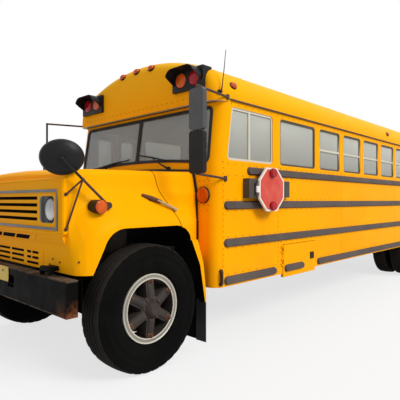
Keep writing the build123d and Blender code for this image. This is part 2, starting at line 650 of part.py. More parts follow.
# Knuckles: fork, king pin, spindle, backing plate, steering arm
FORK_Z = ((436, 466), (588, 618))
ARM_Y = 190
ARM_PIN_R = 14
SPINDLE_R = 30
SPINDLE_END = 95
for side_name, side in SIDES:
    with BuildPart() as knuckle:
        for z0, z1 in FORK_Z:
            x0, x1 = sorted((side * (KINGPIN_X - 48), side * (KINGPIN_X + 90)))
            block(x0, x1, AXLE_F - 45, AXLE_F + 45, z0, z1)
        x0, x1 = sorted((side * (KINGPIN_X + 56), side * (KINGPIN_X + 90)))
        block(x0, x1, AXLE_F - 60, AXLE_F + 60, FORK_Z[0][0], FORK_Z[1][1])
        rod((side * KINGPIN_X, AXLE_F, FORK_Z[0][0]), (side * KINGPIN_X, AXLE_F, FORK_Z[1][1]), PIN_R)
        rod((side * (KINGPIN_X + 60), AXLE_F, TYRE_R), (side * (FRONT_TYRE_X + SPINDLE_END), AXLE_F, TYRE_R), SPINDLE_R)
        rod((side * 940, AXLE_F, TYRE_R), (side * 948, AXLE_F, TYRE_R), 178)
        block(side * KINGPIN_X - 25, side * KINGPIN_X + 25, AXLE_F + 40, AXLE_F + ARM_Y, FORK_Z[0][0], FORK_Z[0][1])
        rod((side * KINGPIN_X, AXLE_F + ARM_Y, FORK_Z[0][0]), (side * KINGPIN_X, AXLE_F + ARM_Y, FORK_Z[0][1]), 32)
        rod((side * KINGPIN_X, AXLE_F + ARM_Y, 300), (side * KINGPIN_X, AXLE_F + ARM_Y, 500), ARM_PIN_R + 0.05 + (0.95 if side < 0 else 0), Mode.SUBTRACT)
    save(knuckle, f"knuckle_{side_name}")

TIE_Z = 405
with BuildPart() as tie_rod:
    rod((-KINGPIN_X, AXLE_F + ARM_Y, TIE_Z), (KINGPIN_X, AXLE_F + ARM_Y, TIE_Z), 18)
    for side_name, side in SIDES:
        ball((side * KINGPIN_X, AXLE_F + ARM_Y, TIE_Z), 24)
        rod((side * KINGPIN_X, AXLE_F + ARM_Y, TIE_Z), (side * KINGPIN_X, AXLE_F + ARM_Y, FORK_Z[0][1] + 10), ARM_PIN_R)
save(tie_rod, "tie_rod")

# Rear axle with its banjo and spring pads
AXLE_TUBE_R = 75
AXLE_END_R = 60
with BuildPart() as rear_axle:
    rod((-655, AXLE_R, TYRE_R), (655, AXLE_R, TYRE_R), AXLE_TUBE_R)
    rod((-DUAL_X - SPINDLE_END, AXLE_R, TYRE_R), (DUAL_X + SPINDLE_END, AXLE_R, TYRE_R), AXLE_END_R)
    ball((0, AXLE_R, TYRE_R), 190)
    rod((0, AXLE_R - 200, TYRE_R), (0, AXLE_R, TYRE_R), 90)
    for side_name, side in SIDES:
        x0, x1 = sorted((side * 475, side * 555))
        block(x0, x1, AXLE_R - 60, AXLE_R + 60, TYRE_R, REAR_SPRING["low_z"])
save(rear_axle, "rear_axle")

# Tyre section: half widths against radius
with BuildPart() as tyre_form:
    with BuildSketch(Plane.XZ):
        with BuildLine():
            bead = RIM_R + SEAT_FIT
            Line((-RIM_HALF, bead), (RIM_HALF, bead))
            Line((RIM_HALF, bead), (RIM_HALF, FLANGE_R + 6))
            ThreePointArc((RIM_HALF, FLANGE_R + 6), (TYRE_HALF, 388), (120, 492))
            ThreePointArc((120, 492), (114, 512), (98, 522))
            ThreePointArc((98, 522), (0, TYRE_R), (-98, 522))
            ThreePointArc((-98, 522), (-114, 512), (-120, 492))
            ThreePointArc((-120, 492), (-TYRE_HALF, 388), (-RIM_HALF, FLANGE_R + 6))
            Line((-RIM_HALF, FLANGE_R + 6), (-RIM_HALF, bead))
        make_face()
    revolve(axis=Axis.X)


# Rim section about a centre plane
def rim(x):
    out = RIM_HALF + SEAT_FIT
    with BuildSketch(Plane.XZ) as section:
        with BuildLine():
            Polyline(
                (x - out - 11, 240), (x + out + 11, 240), (x + out + 11, FLANGE_R), (x + out, FLANGE_R),
                (x + out, RIM_R), (x - out, RIM_R), (x - out, FLANGE_R), (x - out - 11, FLANGE_R), close=True,
            )
        make_face()
    revolve(section.sketch, axis=Axis.X)


# Cast wheel pieces: hub, spokes and drum as profiles of (axial, radius)
FRONT_HUB = [(-70, 0), (166, 0), (166, 44), (150, 56), (112, 74), (100, 104), (-70, 104)]
FRONT_SPOKE = [(-20, 80), (104, 80), (98, 120), (84, 214), (84, 246), (10, 246), (-10, 200)]
FRONT_DRUM = [(-110, 186), (-110, 215), (-38, 215), (-38, 90), (-50, 90), (-50, 186)]
REAR_HUB = [(-110, 0), (188, 0), (188, 62), (150, 70), (150, 112), (-110, 112)]
REAR_SPOKE = [(-60, 90), (128, 90), (120, 130), (84, 214), (84, 246), (-56, 246), (-70, 200)]
REAR_DRUM = [(-235, 180), (-235, 215), (-70, 215), (-70, 100), (-84, 100), (-84, 180)]
SPOKE_W = 84


def cast_wheel(hub, spoke, drum, bore):
    with BuildPart() as wheel:
        for profile in (hub, drum):
            with BuildSketch(Plane.XZ) as section:
                with BuildLine():
                    Polyline(*profile, close=True)
                make_face()
            revolve(section.sketch, axis=Axis.X)
        with BuildPart(mode=Mode.PRIVATE) as arm:
            with BuildSketch(Plane.XZ):
                with BuildLine():
                    Polyline(*spoke, close=True)
                make_face()
            extrude(amount=SPOKE_W / 2, both=True)
        for i in range(SPOKES):
            with Locations(Location((0, 0, 0), (360 / SPOKES * i, 0, 0))):
                add(arm.part)
        with BuildPart(mode=Mode.PRIVATE) as hole:
            with Locations(Location((-300, 0, 0), (0, 90, 0))):
                Cylinder(bore, 300 + SPINDLE_END + 5, align=(Align.CENTER, Align.CENTER, Align.MIN))
        add(hole.part, mode=Mode.SUBTRACT)
    return wheel.part


with BuildPart() as front_wheel_form:
    rim(0)
    add(cast_wheel(FRONT_HUB, FRONT_SPOKE, FRONT_DRUM, SPINDLE_R + PIN_CLEAR))

with BuildPart() as rear_wheel_form:
    for x in (-DUAL_SPREAD, DUAL_SPREAD):
        rim(x)
    with BuildSketch(Plane.XZ) as band:
        with Locations((0, 247)):
            Rectangle(2 * (DUAL_SPREAD - RIM_HALF) - 10, 14)
    revolve(band.sketch, axis=Axis.X)
    add(cast_wheel(REAR_HUB, REAR_SPOKE, REAR_DRUM, AXLE_END_R + PIN_CLEAR))

# Wheels: name, x of the centre plane, y of the axle, wheel form, tyre offsets
WHEELS = [
    ("front", FRONT_TYRE_X, AXLE_F, front_wheel_form, [0]),
    ("rear", DUAL_X, AXLE_R, rear_wheel_form, [-DUAL_SPREAD, DUAL_SPREAD]),
]
for end, x, y, form, offsets in WHEELS:
    for side_name, side in SIDES:
        turn = 0 if side > 0 else 180
        with BuildPart() as wheel:
            with Locations(Location((side * x, y, TYRE_R), (0, 0, turn))):
                add(form.part)
        save(wheel, f"{end}_wheel_{side_name}")
        with BuildPart() as tyres:
            for off in offsets:
                with Locations(Location((side * (x + off), y, TYRE_R), (0, 0, turn))):
                    add(tyre_form.part)
        save(tyres, f"{end}_tyre{'s' if len(offsets) > 1 else ''}_{side_name}")

# Hood and cowl, one row a station: half width at the lip, shoulder z, half width above, z above, half width at the top, top z, rise of the crown
HOOD_T = 20
HOOD_LOW_Z = 870
HOOD_FRONT_Y = AXLE_F - 695
HOOD_FACE_Y = AXLE_F - 660
HOOD_SECTIONS = [
    (-660, 1040, 960, 996, 1150, 985, 1606, 22),
    (-652, 1072, 985, 999, 1175, 984, 1619, 24),
    (-636, 1103, 1020, 1002, 1215, 983, 1631, 27),
    (-605, 1137, 1075, 1004, 1290, 981, 1641, 30),
    (-555, 1165, 1140, 1005, 1370, 978, 1648, 33),
    (-480, 1184, 1195, 1000, 1450, 974, 1653, 36),
    (-350, 1192, 1230, 992, 1500, 968, 1658, 40),
    (400, 1192, 1230, 962, 1500, 938, 1678, 48),
    (500, 1140, 1230, 960, 1500, 929, 1682, 50),
    (725, 958, 1230, 950, 1500, 908, 1692, 52),
]
CORNER_STATION = -400
SHOULDER_ROUND = 160
WAIST_ROUND = 200
TOP_R = 60
CROWN_ROUND = 9000
SEAM_TOP = (AXLE_F + 182, 1690)
SEAM_LOW = (AXLE_F + 305, 1150)
SEAM_GAP = 8
ARCH = [(-640, 690), (-418, 1199), (360, 1199), (532, 830), (598, 480), (598, 300), (-640, 300)]
ARCH_RADII = [0, 190, 190, 60, 0, 0, 0]
MUD_FLAP_Y = 612
# Raised surround of the grille with its sloped lip
SURROUND_HALF = 984
SURROUND_Z = (1150, 1590)
SURROUND_R = 32
LIP_HALF = 955
LIP_LOW_Z = 1082


def hood_section(row, grow):
    s, half, shoulder, waist, waist_z, high, top, crown = row
    a, b, c, t, low = half + grow, waist + grow, high + grow, top + grow, HOOD_LOW_Z + min(grow, 0)
    y = AXLE_F + s - (min(grow, 0) if s < CORNER_STATION else 0)
    with BuildSketch(Plane.XZ.offset(-y)) as section:
        with BuildLine():
            FilletPolyline(
                (-a, low), (a, low), (a, shoulder), (b, waist_z), (c, t),
                (0, t + crown), (-c, t), (-b, waist_z), (-a, shoulder),
                radius=[0, 0, SHOULDER_ROUND, WAIST_ROUND, TOP_R + grow, CROWN_ROUND, TOP_R + grow, WAIST_ROUND, SHOULDER_ROUND],
                close=True,
            )
        make_face()
    return section.sketch


def hood_solid(inset):
    with BuildPart() as solid:
        loft([hood_section(row, -inset) for row in HOOD_SECTIONS], ruled=True)
    return solid.part


def seam_zone(shift):
    lean = (SEAM_LOW[0] - SEAM_TOP[0]) / (SEAM_TOP[1] - SEAM_LOW[1])
    with BuildPart() as zone:
        with BuildSketch(Plane.YZ.offset(-2000)):
            with BuildLine():
                top_y = SEAM_TOP[0] - 200 * lean + shift
                low_y = SEAM_LOW[0] + 900 * lean + shift
                Polyline((top_y, SEAM_TOP[1] + 200), (low_y, SEAM_LOW[1] - 900), (FRONT_Y - 500, SEAM_LOW[1] - 900), (FRONT_Y - 500, SEAM_TOP[1] + 200), close=True)
            make_face()
        extrude(amount=4000)
    return zone.part


with BuildPart() as hood_form:
    add(hood_solid(0))
    with BuildSketch(Plane.XZ.offset(-HOOD_FRONT_Y)):
        with Locations((0, (SURROUND_Z[0] + SURROUND_Z[1]) / 2)):
            RectangleRounded(2 * SURROUND_HALF, SURROUND_Z[1] - SURROUND_Z[0], SURROUND_R)
    extrude(amount=-(HOOD_FACE_Y - HOOD_FRONT_Y + HOOD_T / 2))
    with BuildSketch(Plane.YZ.offset(-LIP_HALF)):
        with BuildLine():
            Polyline(
                (HOOD_FRONT_Y + 3, SURROUND_Z[0] + 30), (HOOD_FRONT_Y + 3, SURROUND_Z[0]), (HOOD_FACE_Y - 6, LIP_LOW_Z),
                (HOOD_FACE_Y + HOOD_T / 2, LIP_LOW_Z), (HOOD_FACE_Y + HOOD_T / 2, SURROUND_Z[0] + 30), close=True,
            )
        make_face()
    extrude(amount=2 * LIP_HALF)
hood_outer = hood_form.part

with BuildPart() as hood_hollow:
    add(hood_outer)
    add(hood_solid(HOOD_T), mode=Mode.SUBTRACT)
    with BuildSketch(Plane.YZ.offset(-1400)) as arch:
        with BuildLine():
            FilletPolyline(*[(AXLE_F + y, z) for y, z in ARCH], radius=ARCH_RADII, close=True)
        make_face()
    extrude(arch.sketch, amount=2800, mode=Mode.SUBTRACT)

# Grille: slot rows and lamp pockets in a plate, framed
GRILLE_HALF = 900
GRILLE_Z = (1187, 1497)
SLOT_Z = (1264, 1320, 1376, 1431)
SLOT_TALL = 27
SLOT_HALF = 566
LAMP_X = 725
LAMP_Z = 1342
LAMP_R = 89
POCKET = (234, 208)
# Valance slots: x from, x to
VALANCE = [(-60, 60), (95, 325), (390, 480), (500, 590)]
VALANCE_Z = (926, 956, 986)
# Slanted slots in the lip: centres, width, lean, height, z
LIP_SLOTS = (0, 143, 286, 429)
LIP_SLOT = (86, 16, 24, 1112)
with BuildPart() as hood_shell:
    add(hood_hollow.part)
    add(seam_zone(-SEAM_GAP / 2), mode=Mode.INTERSECT)
    block(-GRILLE_HALF, GRILLE_HALF, HOOD_FRONT_Y - 50, HOOD_FRONT_Y + 60, GRILLE_Z[0], GRILLE_Z[1], Mode.SUBTRACT)
    for z in VALANCE_Z:
        for x0, x1 in VALANCE:
            for s in ((1, -1) if x0 > 0 else (1,)):
                a, b = sorted((s * x0, s * x1))
                block(a, b, HOOD_FRONT_Y - 50, HOOD_FRONT_Y + 60, z - 9, z + 9, Mode.SUBTRACT)
    slot_wide, slot_lean, slot_tall, slot_z = LIP_SLOT
    with BuildSketch(Plane.XZ.offset(-(HOOD_FRONT_Y - 20))):
        for x in LIP_SLOTS:
            for s in ((1, -1) if x else (1,)):
                with BuildLine():
                    w, h = slot_wide / 2, slot_tall / 2
                    Polyline(
                        (s * x - w - slot_lean, slot_z + h), (s * x + w - slot_lean, slot_z + h),
                        (s * x + w + slot_lean, slot_z - h), (s * x - w + slot_lean, slot_z - h), close=True,
                    )
                make_face()
    extrude(amount=-80, mode=Mode.SUBTRACT)
    for side_name, side in SIDES:
        x0, x1 = sorted((side * (PIVOT_X[0] + 6 + GAP), side * (PIVOT_X[1] - 6 - GAP)))
        block(x0, x1, PIVOT_Y, HOOD_FACE_Y + 10, PIVOT_Z - 16, PIVOT_Z + 16)
        rod((x0, PIVOT_Y, PIVOT_Z), (x1, PIVOT_Y, PIVOT_Z), 22)
        rod((x0 - 1, PIVOT_Y, PIVOT_Z), (x1 + 1, PIVOT_Y, PIVOT_Z), 10 + PIN_CLEAR, Mode.SUBTRACT)
save(hood_shell, "hood_shell")

with BuildPart() as grille:
    block(-GRILLE_HALF, GRILLE_HALF, HOOD_FRONT_Y - 8, HOOD_FRONT_Y + 14, GRILLE_Z[0], GRILLE_Z[1])
    block(-GRILLE_HALF + 22, GRILLE_HALF - 22, HOOD_FRONT_Y - 9, HOOD_FRONT_Y + 2, GRILLE_Z[0] + 22, GRILLE_Z[1] - 22, Mode.SUBTRACT)
    for z in SLOT_Z:
        block(-SLOT_HALF, SLOT_HALF, HOOD_FRONT_Y - 20, HOOD_FRONT_Y + 30, z - SLOT_TALL / 2, z + SLOT_TALL / 2, Mode.SUBTRACT)
    for side_name, side in SIDES:
        with BuildSketch(Plane.XZ.offset(-(HOOD_FRONT_Y - 20))):
            with Locations((side * LAMP_X, LAMP_Z)):
                RectangleRounded(POCKET[0], POCKET[1], 40)
        extrude(amount=-60, mode=Mode.SUBTRACT)
save(grille, "grille")

with BuildPart() as headlamps:
    for side_name, side in SIDES:
        with BuildSketch(Plane.XZ.offset(-(HOOD_FRONT_Y + 14))):
            with Locations((side * LAMP_X, LAMP_Z)):
                RectangleRounded(POCKET[0] + 20, POCKET[1] + 20, 48)
        extrude(amount=-12)
        with BuildPart(mode=Mode.PRIVATE) as lens:
            with BuildSketch(Plane.XY):
                with BuildLine():
                    Line((0, 0), (0, -40))
                    ThreePointArc((0, -40), (60, -31), (LAMP_R, -14))
                    Line((LAMP_R, -14), (LAMP_R, 0))
                    Line((LAMP_R, 0), (0, 0))
                make_face()
            revolve(axis=Axis.Y)
        with Locations((side * LAMP_X, HOOD_FRONT_Y + 20, LAMP_Z)):
            add(lens.part)
save(headlamps, "headlamps")

# Fixed cowl with the fenders' tails
SEAL_DEPTH = 16
TAIL_X = (1120, 1190)
TAIL = [(400, 1060), (598, 480), (MUD_FLAP_Y, 480), (MUD_FLAP_Y, 560), (575, 840), (500, 1060)]
with BuildPart() as cowl:
    add(hood_hollow.part)
    add(seam_zone(SEAM_GAP / 2), mode=Mode.SUBTRACT)
    for side_name, side in SIDES:
        x0, x1 = sorted((side * TAIL_X[0], side * TAIL_X[1]))
        with BuildSketch(Plane.YZ.offset(x0)):
            with BuildLine():
                Polyline(*[(AXLE_F + y, z) for y, z in TAIL], close=True)
            make_face()
        extrude(amount=x1 - x0)
    extrude(arch.sketch, amount=2800, mode=Mode.SUBTRACT)
save(cowl, "cowl")

# Round lamps on the front wall: x, z, radius
TURN_LAMP = (1050, 1464, 82)
with BuildPart() as cowl_seal:
    for grow, mode in ((22, Mode.ADD), (0.2, Mode.SUBTRACT)):
        with BuildSketch(Plane.XZ.offset(-(FRONT_WALL_Y - SEAL_DEPTH))) as ring:
            for piece in hood_section(HOOD_SECTIONS[-1], grow).faces():
                add(Plane.XZ.offset(-AXLE_F - HOOD_SECTIONS[-1][0]).to_local_coords(piece))
        extrude(ring.sketch, amount=-SEAL_DEPTH, mode=mode)
    add(hood_outer, mode=Mode.SUBTRACT)
    for side_name, side in SIDES:
        x, z, r = side * TURN_LAMP[0], TURN_LAMP[1], TURN_LAMP[2] + 1
        rod((x, FRONT_WALL_Y - 2 * SEAL_DEPTH, z), (x, FRONT_WALL_Y + 1, z), r, Mode.SUBTRACT)
save(cowl_seal, "cowl_seal")

# Fender lamps and fender mirrors ride on the hood
FENDER_LAMP = (AXLE_F - 480, 1366, 1040, 1148, 52)
with BuildPart() as hood_lamps:
    y, z, x0, x1, r = FENDER_LAMP
    for side_name, side in SIDES:
        rod((side * x0, y, z), (side * x1, y, z), r)
    add(hood_outer, mode=Mode.SUBTRACT)
save(hood_lamps, "hood_lamps")

# Fender mirrors: an oval bowl on a boom from the fender, with two braces to the grille's surround
MIRROR_AT = (995, AXLE_F - 713, 1724)
MIRROR_BACK = (0.86, -0.47, -0.2)
MIRROR_OVAL = (158, 132)
BOWL = [(-19, 0.5), (-11, 0.87), (0, 1), (20, 0.94), (38, 0.77), (52, 0.5), (58, 0.24)]
BOOM_FOOT = (1112, AXLE_F - 396, 1374)
BOOM_PAD = (1040, 1124, 26)
BOOM_R = 10
BRACE_R = 7
BRACE_JOINT = 0.43
BRACE_PAD = (8, 13)
BRACE_FEET_Z = (1457, 1200)
BRACE_FOOT_Y = AXLE_F - 679
with BuildPart() as hood_mirrors:
    for side_name, side in SIDES:
        rod((side * BOOM_PAD[0], BOOM_FOOT[1], BOOM_FOOT[2]), (side * BOOM_PAD[1], BOOM_FOOT[1], BOOM_FOOT[2]), BOOM_PAD[2])
    add(hood_outer, mode=Mode.SUBTRACT)
    for side_name, side in SIDES:
        head = Vector(side * MIRROR_AT[0], MIRROR_AT[1], MIRROR_AT[2])
        back = Vector(side * MIRROR_BACK[0], MIRROR_BACK[1], MIRROR_BACK[2]).normalized()
        level = Vector(-back.Y, back.X, 0)
        ovals = []
        for depth, share in BOWL:
            with BuildSketch(Plane(origin=head + back * depth, x_dir=level, z_dir=back)) as oval:
                Ellipse(MIRROR_OVAL[0] * share, MIRROR_OVAL[1] * share)
            ovals.append(oval.sketch)
        loft(ovals, ruled=True)
        tip = head + back * (BOWL[-1][0] + 14)
        foot = Vector(side * BOOM_FOOT[0], BOOM_FOOT[1], BOOM_FOOT[2])
        joint = tip + (foot - tip) * BRACE_JOINT
        rod(tuple(head + back * (BOWL[-1][0] - 10)), tuple(tip), 22)
        rod(tuple(foot), tuple(tip), BOOM_R)
        ball(tuple(tip), BOOM_R + 5)
        ball(tuple(joint), BOOM_R + 4)
        for z in BRACE_FEET_Z:
            end = (side * (SURROUND_HALF + BRACE_PAD[0]), BRACE_FOOT_Y, z)
            rod((side * SURROUND_HALF, BRACE_FOOT_Y, z), end, BRACE_PAD[1])
            rod(tuple(joint), end, BRACE_R)
            ball(end, BRACE_R + 1)
save(hood_mirrors, "hood_mirrors")

# Mirrors on rods beside the windscreen
SIDE_MIRROR = (1328, AXLE_F + 343)
with BuildPart() as side_mirrors:
    for side_name, side in SIDES:
        x, y = side * SIDE_MIRROR[0], SIDE_MIRROR[1]
        rod((x, y, 1630), (x, y, 2400), 12)
        for z, foot_y, foot_z in ((1640, 855, 1620), (2390, 890, 2405)):
            rod((x, y, z), (side * 1216, AXLE_F + foot_y, foot_z), 11)
            ball((x, y, z), 12)
            xs = sorted((side * BODY_HALF, side * (BODY_HALF + 14)))
            block(xs[0], xs[1], AXLE_F + foot_y - 17, AXLE_F + foot_y + 17, foot_z - 25, foot_z + 25)
        for z0, z1 in ((1642, 2005), (2012, 2366)) if side > 0 else ((1642, 2005),):
            with BuildSketch(Plane.XZ.offset(-(y - 12))):
                with Locations((x, (z0 + z1) / 2)):
                    RectangleRounded(165, z1 - z0, 30)
            extrude(amount=-46)
    add(outer, mode=Mode.SUBTRACT)
save(side_mirrors, "side_mirrors")

# Warning lamp boxes with a visor round each pair of lamps: end y, sign of outward y, reach of the visor
LAMP_BOX = dict(x=(640, 1065), z=(2500, 2710), reach=36)
LAMP_SEAT = 20
BOX_LAMPS = (760, 945)
BOX_LAMP_Z = 2610
VISOR = dict(wide=396, tall=196, round=97, thick=7)
BOX_ENDS = ((HEADER_Y, -1, 120), (REAR_WALL_Y, 1, 60))
with BuildPart() as warning_lamp_boxes:
    for end_y, out, visor_reach in BOX_ENDS:
        face_y = end_y + out * LAMP_BOX["reach"]
        for side_name, side in SIDES:
            xs = sorted((side * LAMP_BOX["x"][0], side * LAMP_BOX["x"][1]))
            block(xs[0], xs[1], *sorted((face_y, end_y - out * 90)), *LAMP_BOX["z"])
            for x in BOX_LAMPS:
                rod((side * x, end_y + out * 100, BOX_LAMP_Z), (side * x, end_y + out * LAMP_SEAT, BOX_LAMP_Z), 80, Mode.SUBTRACT)
            with BuildSketch(Plane.XZ.offset(-(face_y - out * 5))):
                with Locations((side * sum(BOX_LAMPS) / 2, BOX_LAMP_Z)):
                    RectangleRounded(VISOR["wide"], VISOR["tall"], VISOR["round"])
                    RectangleRounded(VISOR["wide"] - 2 * VISOR["thick"], VISOR["tall"] - 2 * VISOR["thick"], VISOR["round"] - VISOR["thick"], mode=Mode.SUBTRACT)
            extrude(amount=-out * (visor_reach + 5))
        with BuildSketch(Plane.YZ.offset(-BODY_HALF)):
            with BuildLine():
                far_y = face_y + out * (visor_reach + 10)
                Polyline((face_y, BOX_LAMP_Z - 250), (face_y, BOX_LAMP_Z - 40), (far_y, BOX_LAMP_Z + 40), (far_y, BOX_LAMP_Z - 250), close=True)
            make_face()
        extrude(amount=2 * BODY_HALF, mode=Mode.SUBTRACT)
    add(outer, mode=Mode.SUBTRACT)
save(warning_lamp_boxes, "warning_lamp_boxes")

# Lenses: x, y, z, radius, direction of the face
AMBER = [
    (BOX_LAMPS[0], HEADER_Y - LAMP_SEAT, BOX_LAMP_Z, 78, (0, -1, 0)), (BOX_LAMPS[0], REAR_WALL_Y + LAMP_SEAT, BOX_LAMP_Z, 78, (0, 1, 0)),
    (TURN_LAMP[0], FRONT_WALL_Y, TURN_LAMP[1], TURN_LAMP[2], (0, -1, 0)), (1000, REAR_WALL_Y, 1540, 82, (0, 1, 0)),
]
RED = [
    (BOX_LAMPS[1], HEADER_Y - LAMP_SEAT, BOX_LAMP_Z, 78, (0, -1, 0)), (BOX_LAMPS[1], REAR_WALL_Y + LAMP_SEAT, BOX_LAMP_Z, 78, (0, 1, 0)),
    (780, REAR_WALL_Y, 1540, 82, (0, 1, 0)),
]
ROOF_LAMP = (90, 40)
for name, table, marks in (
    ("amber_lamps", AMBER, [(0, HEADER_Y + 36, 2866), (254, HEADER_Y + 36, 2853), (1190, AXLE_F + 1000, 2538), (1190, AXLE_F + 5118, 2526)]),
    ("red_lamps", RED, [(0, REAR_WALL_Y - 36, 2866), (254, REAR_WALL_Y - 36, 2853), (1190, REAR_WALL_Y - 220, 2538)]),
):
    with BuildPart() as lenses:
        for x, y, z, r, face in table:
            for side_name, side in SIDES:
                rod((side * x, y, z), (side * x, y + face[1] * 24, z), r)
        for x, y, z in marks:
            for side in ((1, -1) if x else (1,)):
                long_x = x < 1000
                with Locations((side * x, y, z)):
                    Box(ROOF_LAMP[0] if long_x else 46, 90 if long_x else ROOF_LAMP[0], ROOF_LAMP[1] + (30 if long_x else 0))
        add(outer, mode=Mode.SUBTRACT)
        add(warning_lamp_boxes.part, mode=Mode.SUBTRACT)
    save(lenses, name)

# Passenger benches and the driver's seat
BENCH_ROWS = 11
BENCH_FIRST_Y = AXLE_F + 1980
BENCH_X = (175, FLOOR_HALF)
CUSHION_Z = (1320, 1440)
BACK_TOP_Z = 1850
with BuildPart() as seats:
    for side_name, side in SIDES:
        places = [(BENCH_X[0], BENCH_X[1], BENCH_FIRST_Y + i * SASH_PITCH) for i in range(BENCH_ROWS)]
        if side > 0:
            places = places + [(420, 900, AXLE_F + 1290)]
        for x0, x1, y in places:
            with BuildSketch(Plane.YZ.offset(min(side * x0, side * x1))):
                with BuildLine():
                    Polyline(
                        (y, CUSHION_Z[0]), (y + 420, CUSHION_Z[0]), (y + 530, BACK_TOP_Z), (y + 450, BACK_TOP_Z),
                        (y + 370, CUSHION_Z[1]), (y, CUSHION_Z[1]), close=True,
                    )
                make_face()
            extrude(amount=x1 - x0)
            xs = sorted((side * (x0 + 20), side * (x0 + 80)))
            block(xs[0], xs[1], y + 60, y + 360, FLOOR_Z, CUSHION_Z[0] + 5)
save(seats, "seats")

with BuildPart() as steering_wheel:
    hub = (660, AXLE_F + 1120, 1690)
    rod((660, AXLE_F + 900, FLOOR_Z), hub, 30)
    with Locations(Plane(origin=hub, z_dir=(0, 220, 690))):
        Torus(225, 16)
        Box(440, 36, 14)
        Box(36, 440, 14)
    block(500, 800, AXLE_F + 800, AXLE_F + 1300, FLOOR_Z - 100, FLOOR_Z, Mode.SUBTRACT)
save(steering_wheel, "steering_wheel")

# Entrance leaves with two panes each
LEAF_LOW_Z = ENTRANCE_LOW_Z + 8
LEAF_TOP_Z = ENTRANCE_TOP_Z - GAP
LEAF_MID_Y = (ENTRANCE[0] + ENTRANCE[1]) / 2
LEAF_EDGE = 60
LEAF_GAP = 14
LEAF_PANES = [(560, 1180), (1260, 2250)]
for name, y0, y1 in (
    ("front", ENTRANCE[0] + GAP, LEAF_MID_Y - LEAF_GAP / 2),
    ("rear", LEAF_MID_Y + LEAF_GAP / 2, ENTRANCE[1] - GAP),
):
    with BuildPart() as leaf:
        block(-BODY_HALF, -BODY_HALF + LEAF_T, y0, y1, LEAF_LOW_Z, LEAF_TOP_Z)
        with BuildSketch(Plane.YZ.offset(-BODY_HALF - 10)) as holes:
            for z0, z1 in LEAF_PANES:
                with Locations(((y0 + y1) / 2, (z0 + z1) / 2)):
                    RectangleRounded(y1 - y0 - 2 * LEAF_EDGE, z1 - z0, 40)
        extrude(amount=100, mode=Mode.SUBTRACT)
        hinge_door(HINGES[f"entrance_{name}"])
    save(leaf, f"entrance_leaf_{name}")
    with BuildPart() as leaf_glass:
        extrude(holes.sketch.moved(Location((28, 0, 0))), amount=GLASS_T)
    save(leaf_glass, f"entrance_glass_{name}")

# Emergency door in the rear wall
with BuildPart() as emergency_door:
    block(-EMERGENCY_HALF + GAP, EMERGENCY_HALF - GAP, REAR_WALL_Y - 40, REAR_WALL_Y, FLOOR_Z + GAP, EMERGENCY_TOP_Z - GAP)
    with BuildSketch(Plane.XZ.offset(-REAR_Y)) as door_holes:
        for z0, z1 in ((1160, 1600), (1805, 2260)):
            with Locations((0, (z0 + z1) / 2)):
                RectangleRounded(540, z1 - z0, 45)
    extrude(amount=300, mode=Mode.SUBTRACT)
    rod((300, REAR_WALL_Y, 1700), (300, REAR_WALL_Y + 35, 1700), 12)
    block(200, 312, REAR_WALL_Y + 28, REAR_WALL_Y + 46, 1688, 1712)
    hinge_door(HINGES["emergency"])
save(emergency_door, "emergency_door")

with BuildPart() as emergency_glass:
    with BuildSketch(Plane.XZ.offset(-(REAR_WALL_Y - 17))):
        for z0, z1 in ((1160, 1600), (1805, 2260)):
            with Locations((0, (z0 + z1) / 2)):
                RectangleRounded(540, z1 - z0, 45)
    extrude(amount=GLASS_T)
save(emergency_glass, "emergency_glass")

# Battery door in the skirt with its own piece of rub rail
with BuildPart() as battery_door:
    block(BODY_HALF - 26, BODY_HALF + BATTERY_OUT, BATTERY[0] + GAP, BATTERY[1] - GAP, BATTERY_LOW_Z, BATTERY_TOP_Z - GAP)
    rub_rail(1, 642, AXLE_F + 1888, AXLE_F + 2310, BODY_HALF + 5)
    block(BODY_HALF + 5, BODY_HALF + 18, BATTERY[1] - 130, BATTERY[1] - 50, 700, 780)
    hinge_door(HINGES["battery"])
save(battery_door, "battery_door")

# Stop arm: base box with hinge ears, folding sign with two lamps a side
STOP_Y = AXLE_F + 1487
STOP_Z = 1526
STOP_ACROSS = 452
STOP_HINGE = (1312, AXLE_F + 1232)
STOP_X = (1300, 1322)
EAR_Z = ((1462, 1488), (1564, 1590))
with BuildPart() as stop_arm_base:
    block(BODY_HALF, BODY_HALF + 45, AXLE_F + 1135, AXLE_F + 1935, 1445, 1625)
    block(BODY_HALF, BODY_HALF + 78, AXLE_F + 1135, AXLE_F + 1330, 1435, 1633)
    for z0, z1 in EAR_Z:
        block(BODY_HALF + 70, STOP_HINGE[0], STOP_HINGE[1] - 12, STOP_HINGE[1] + 12, z0, z1)
        rod((STOP_HINGE[0], STOP_HINGE[1], z0), (STOP_HINGE[0], STOP_HINGE[1], z1), 12)
    rod((STOP_HINGE[0], STOP_HINGE[1], EAR_Z[0][0]), (STOP_HINGE[0], STOP_HINGE[1], EAR_Z[1][1]), 6)
save(stop_arm_base, "stop_arm_base")

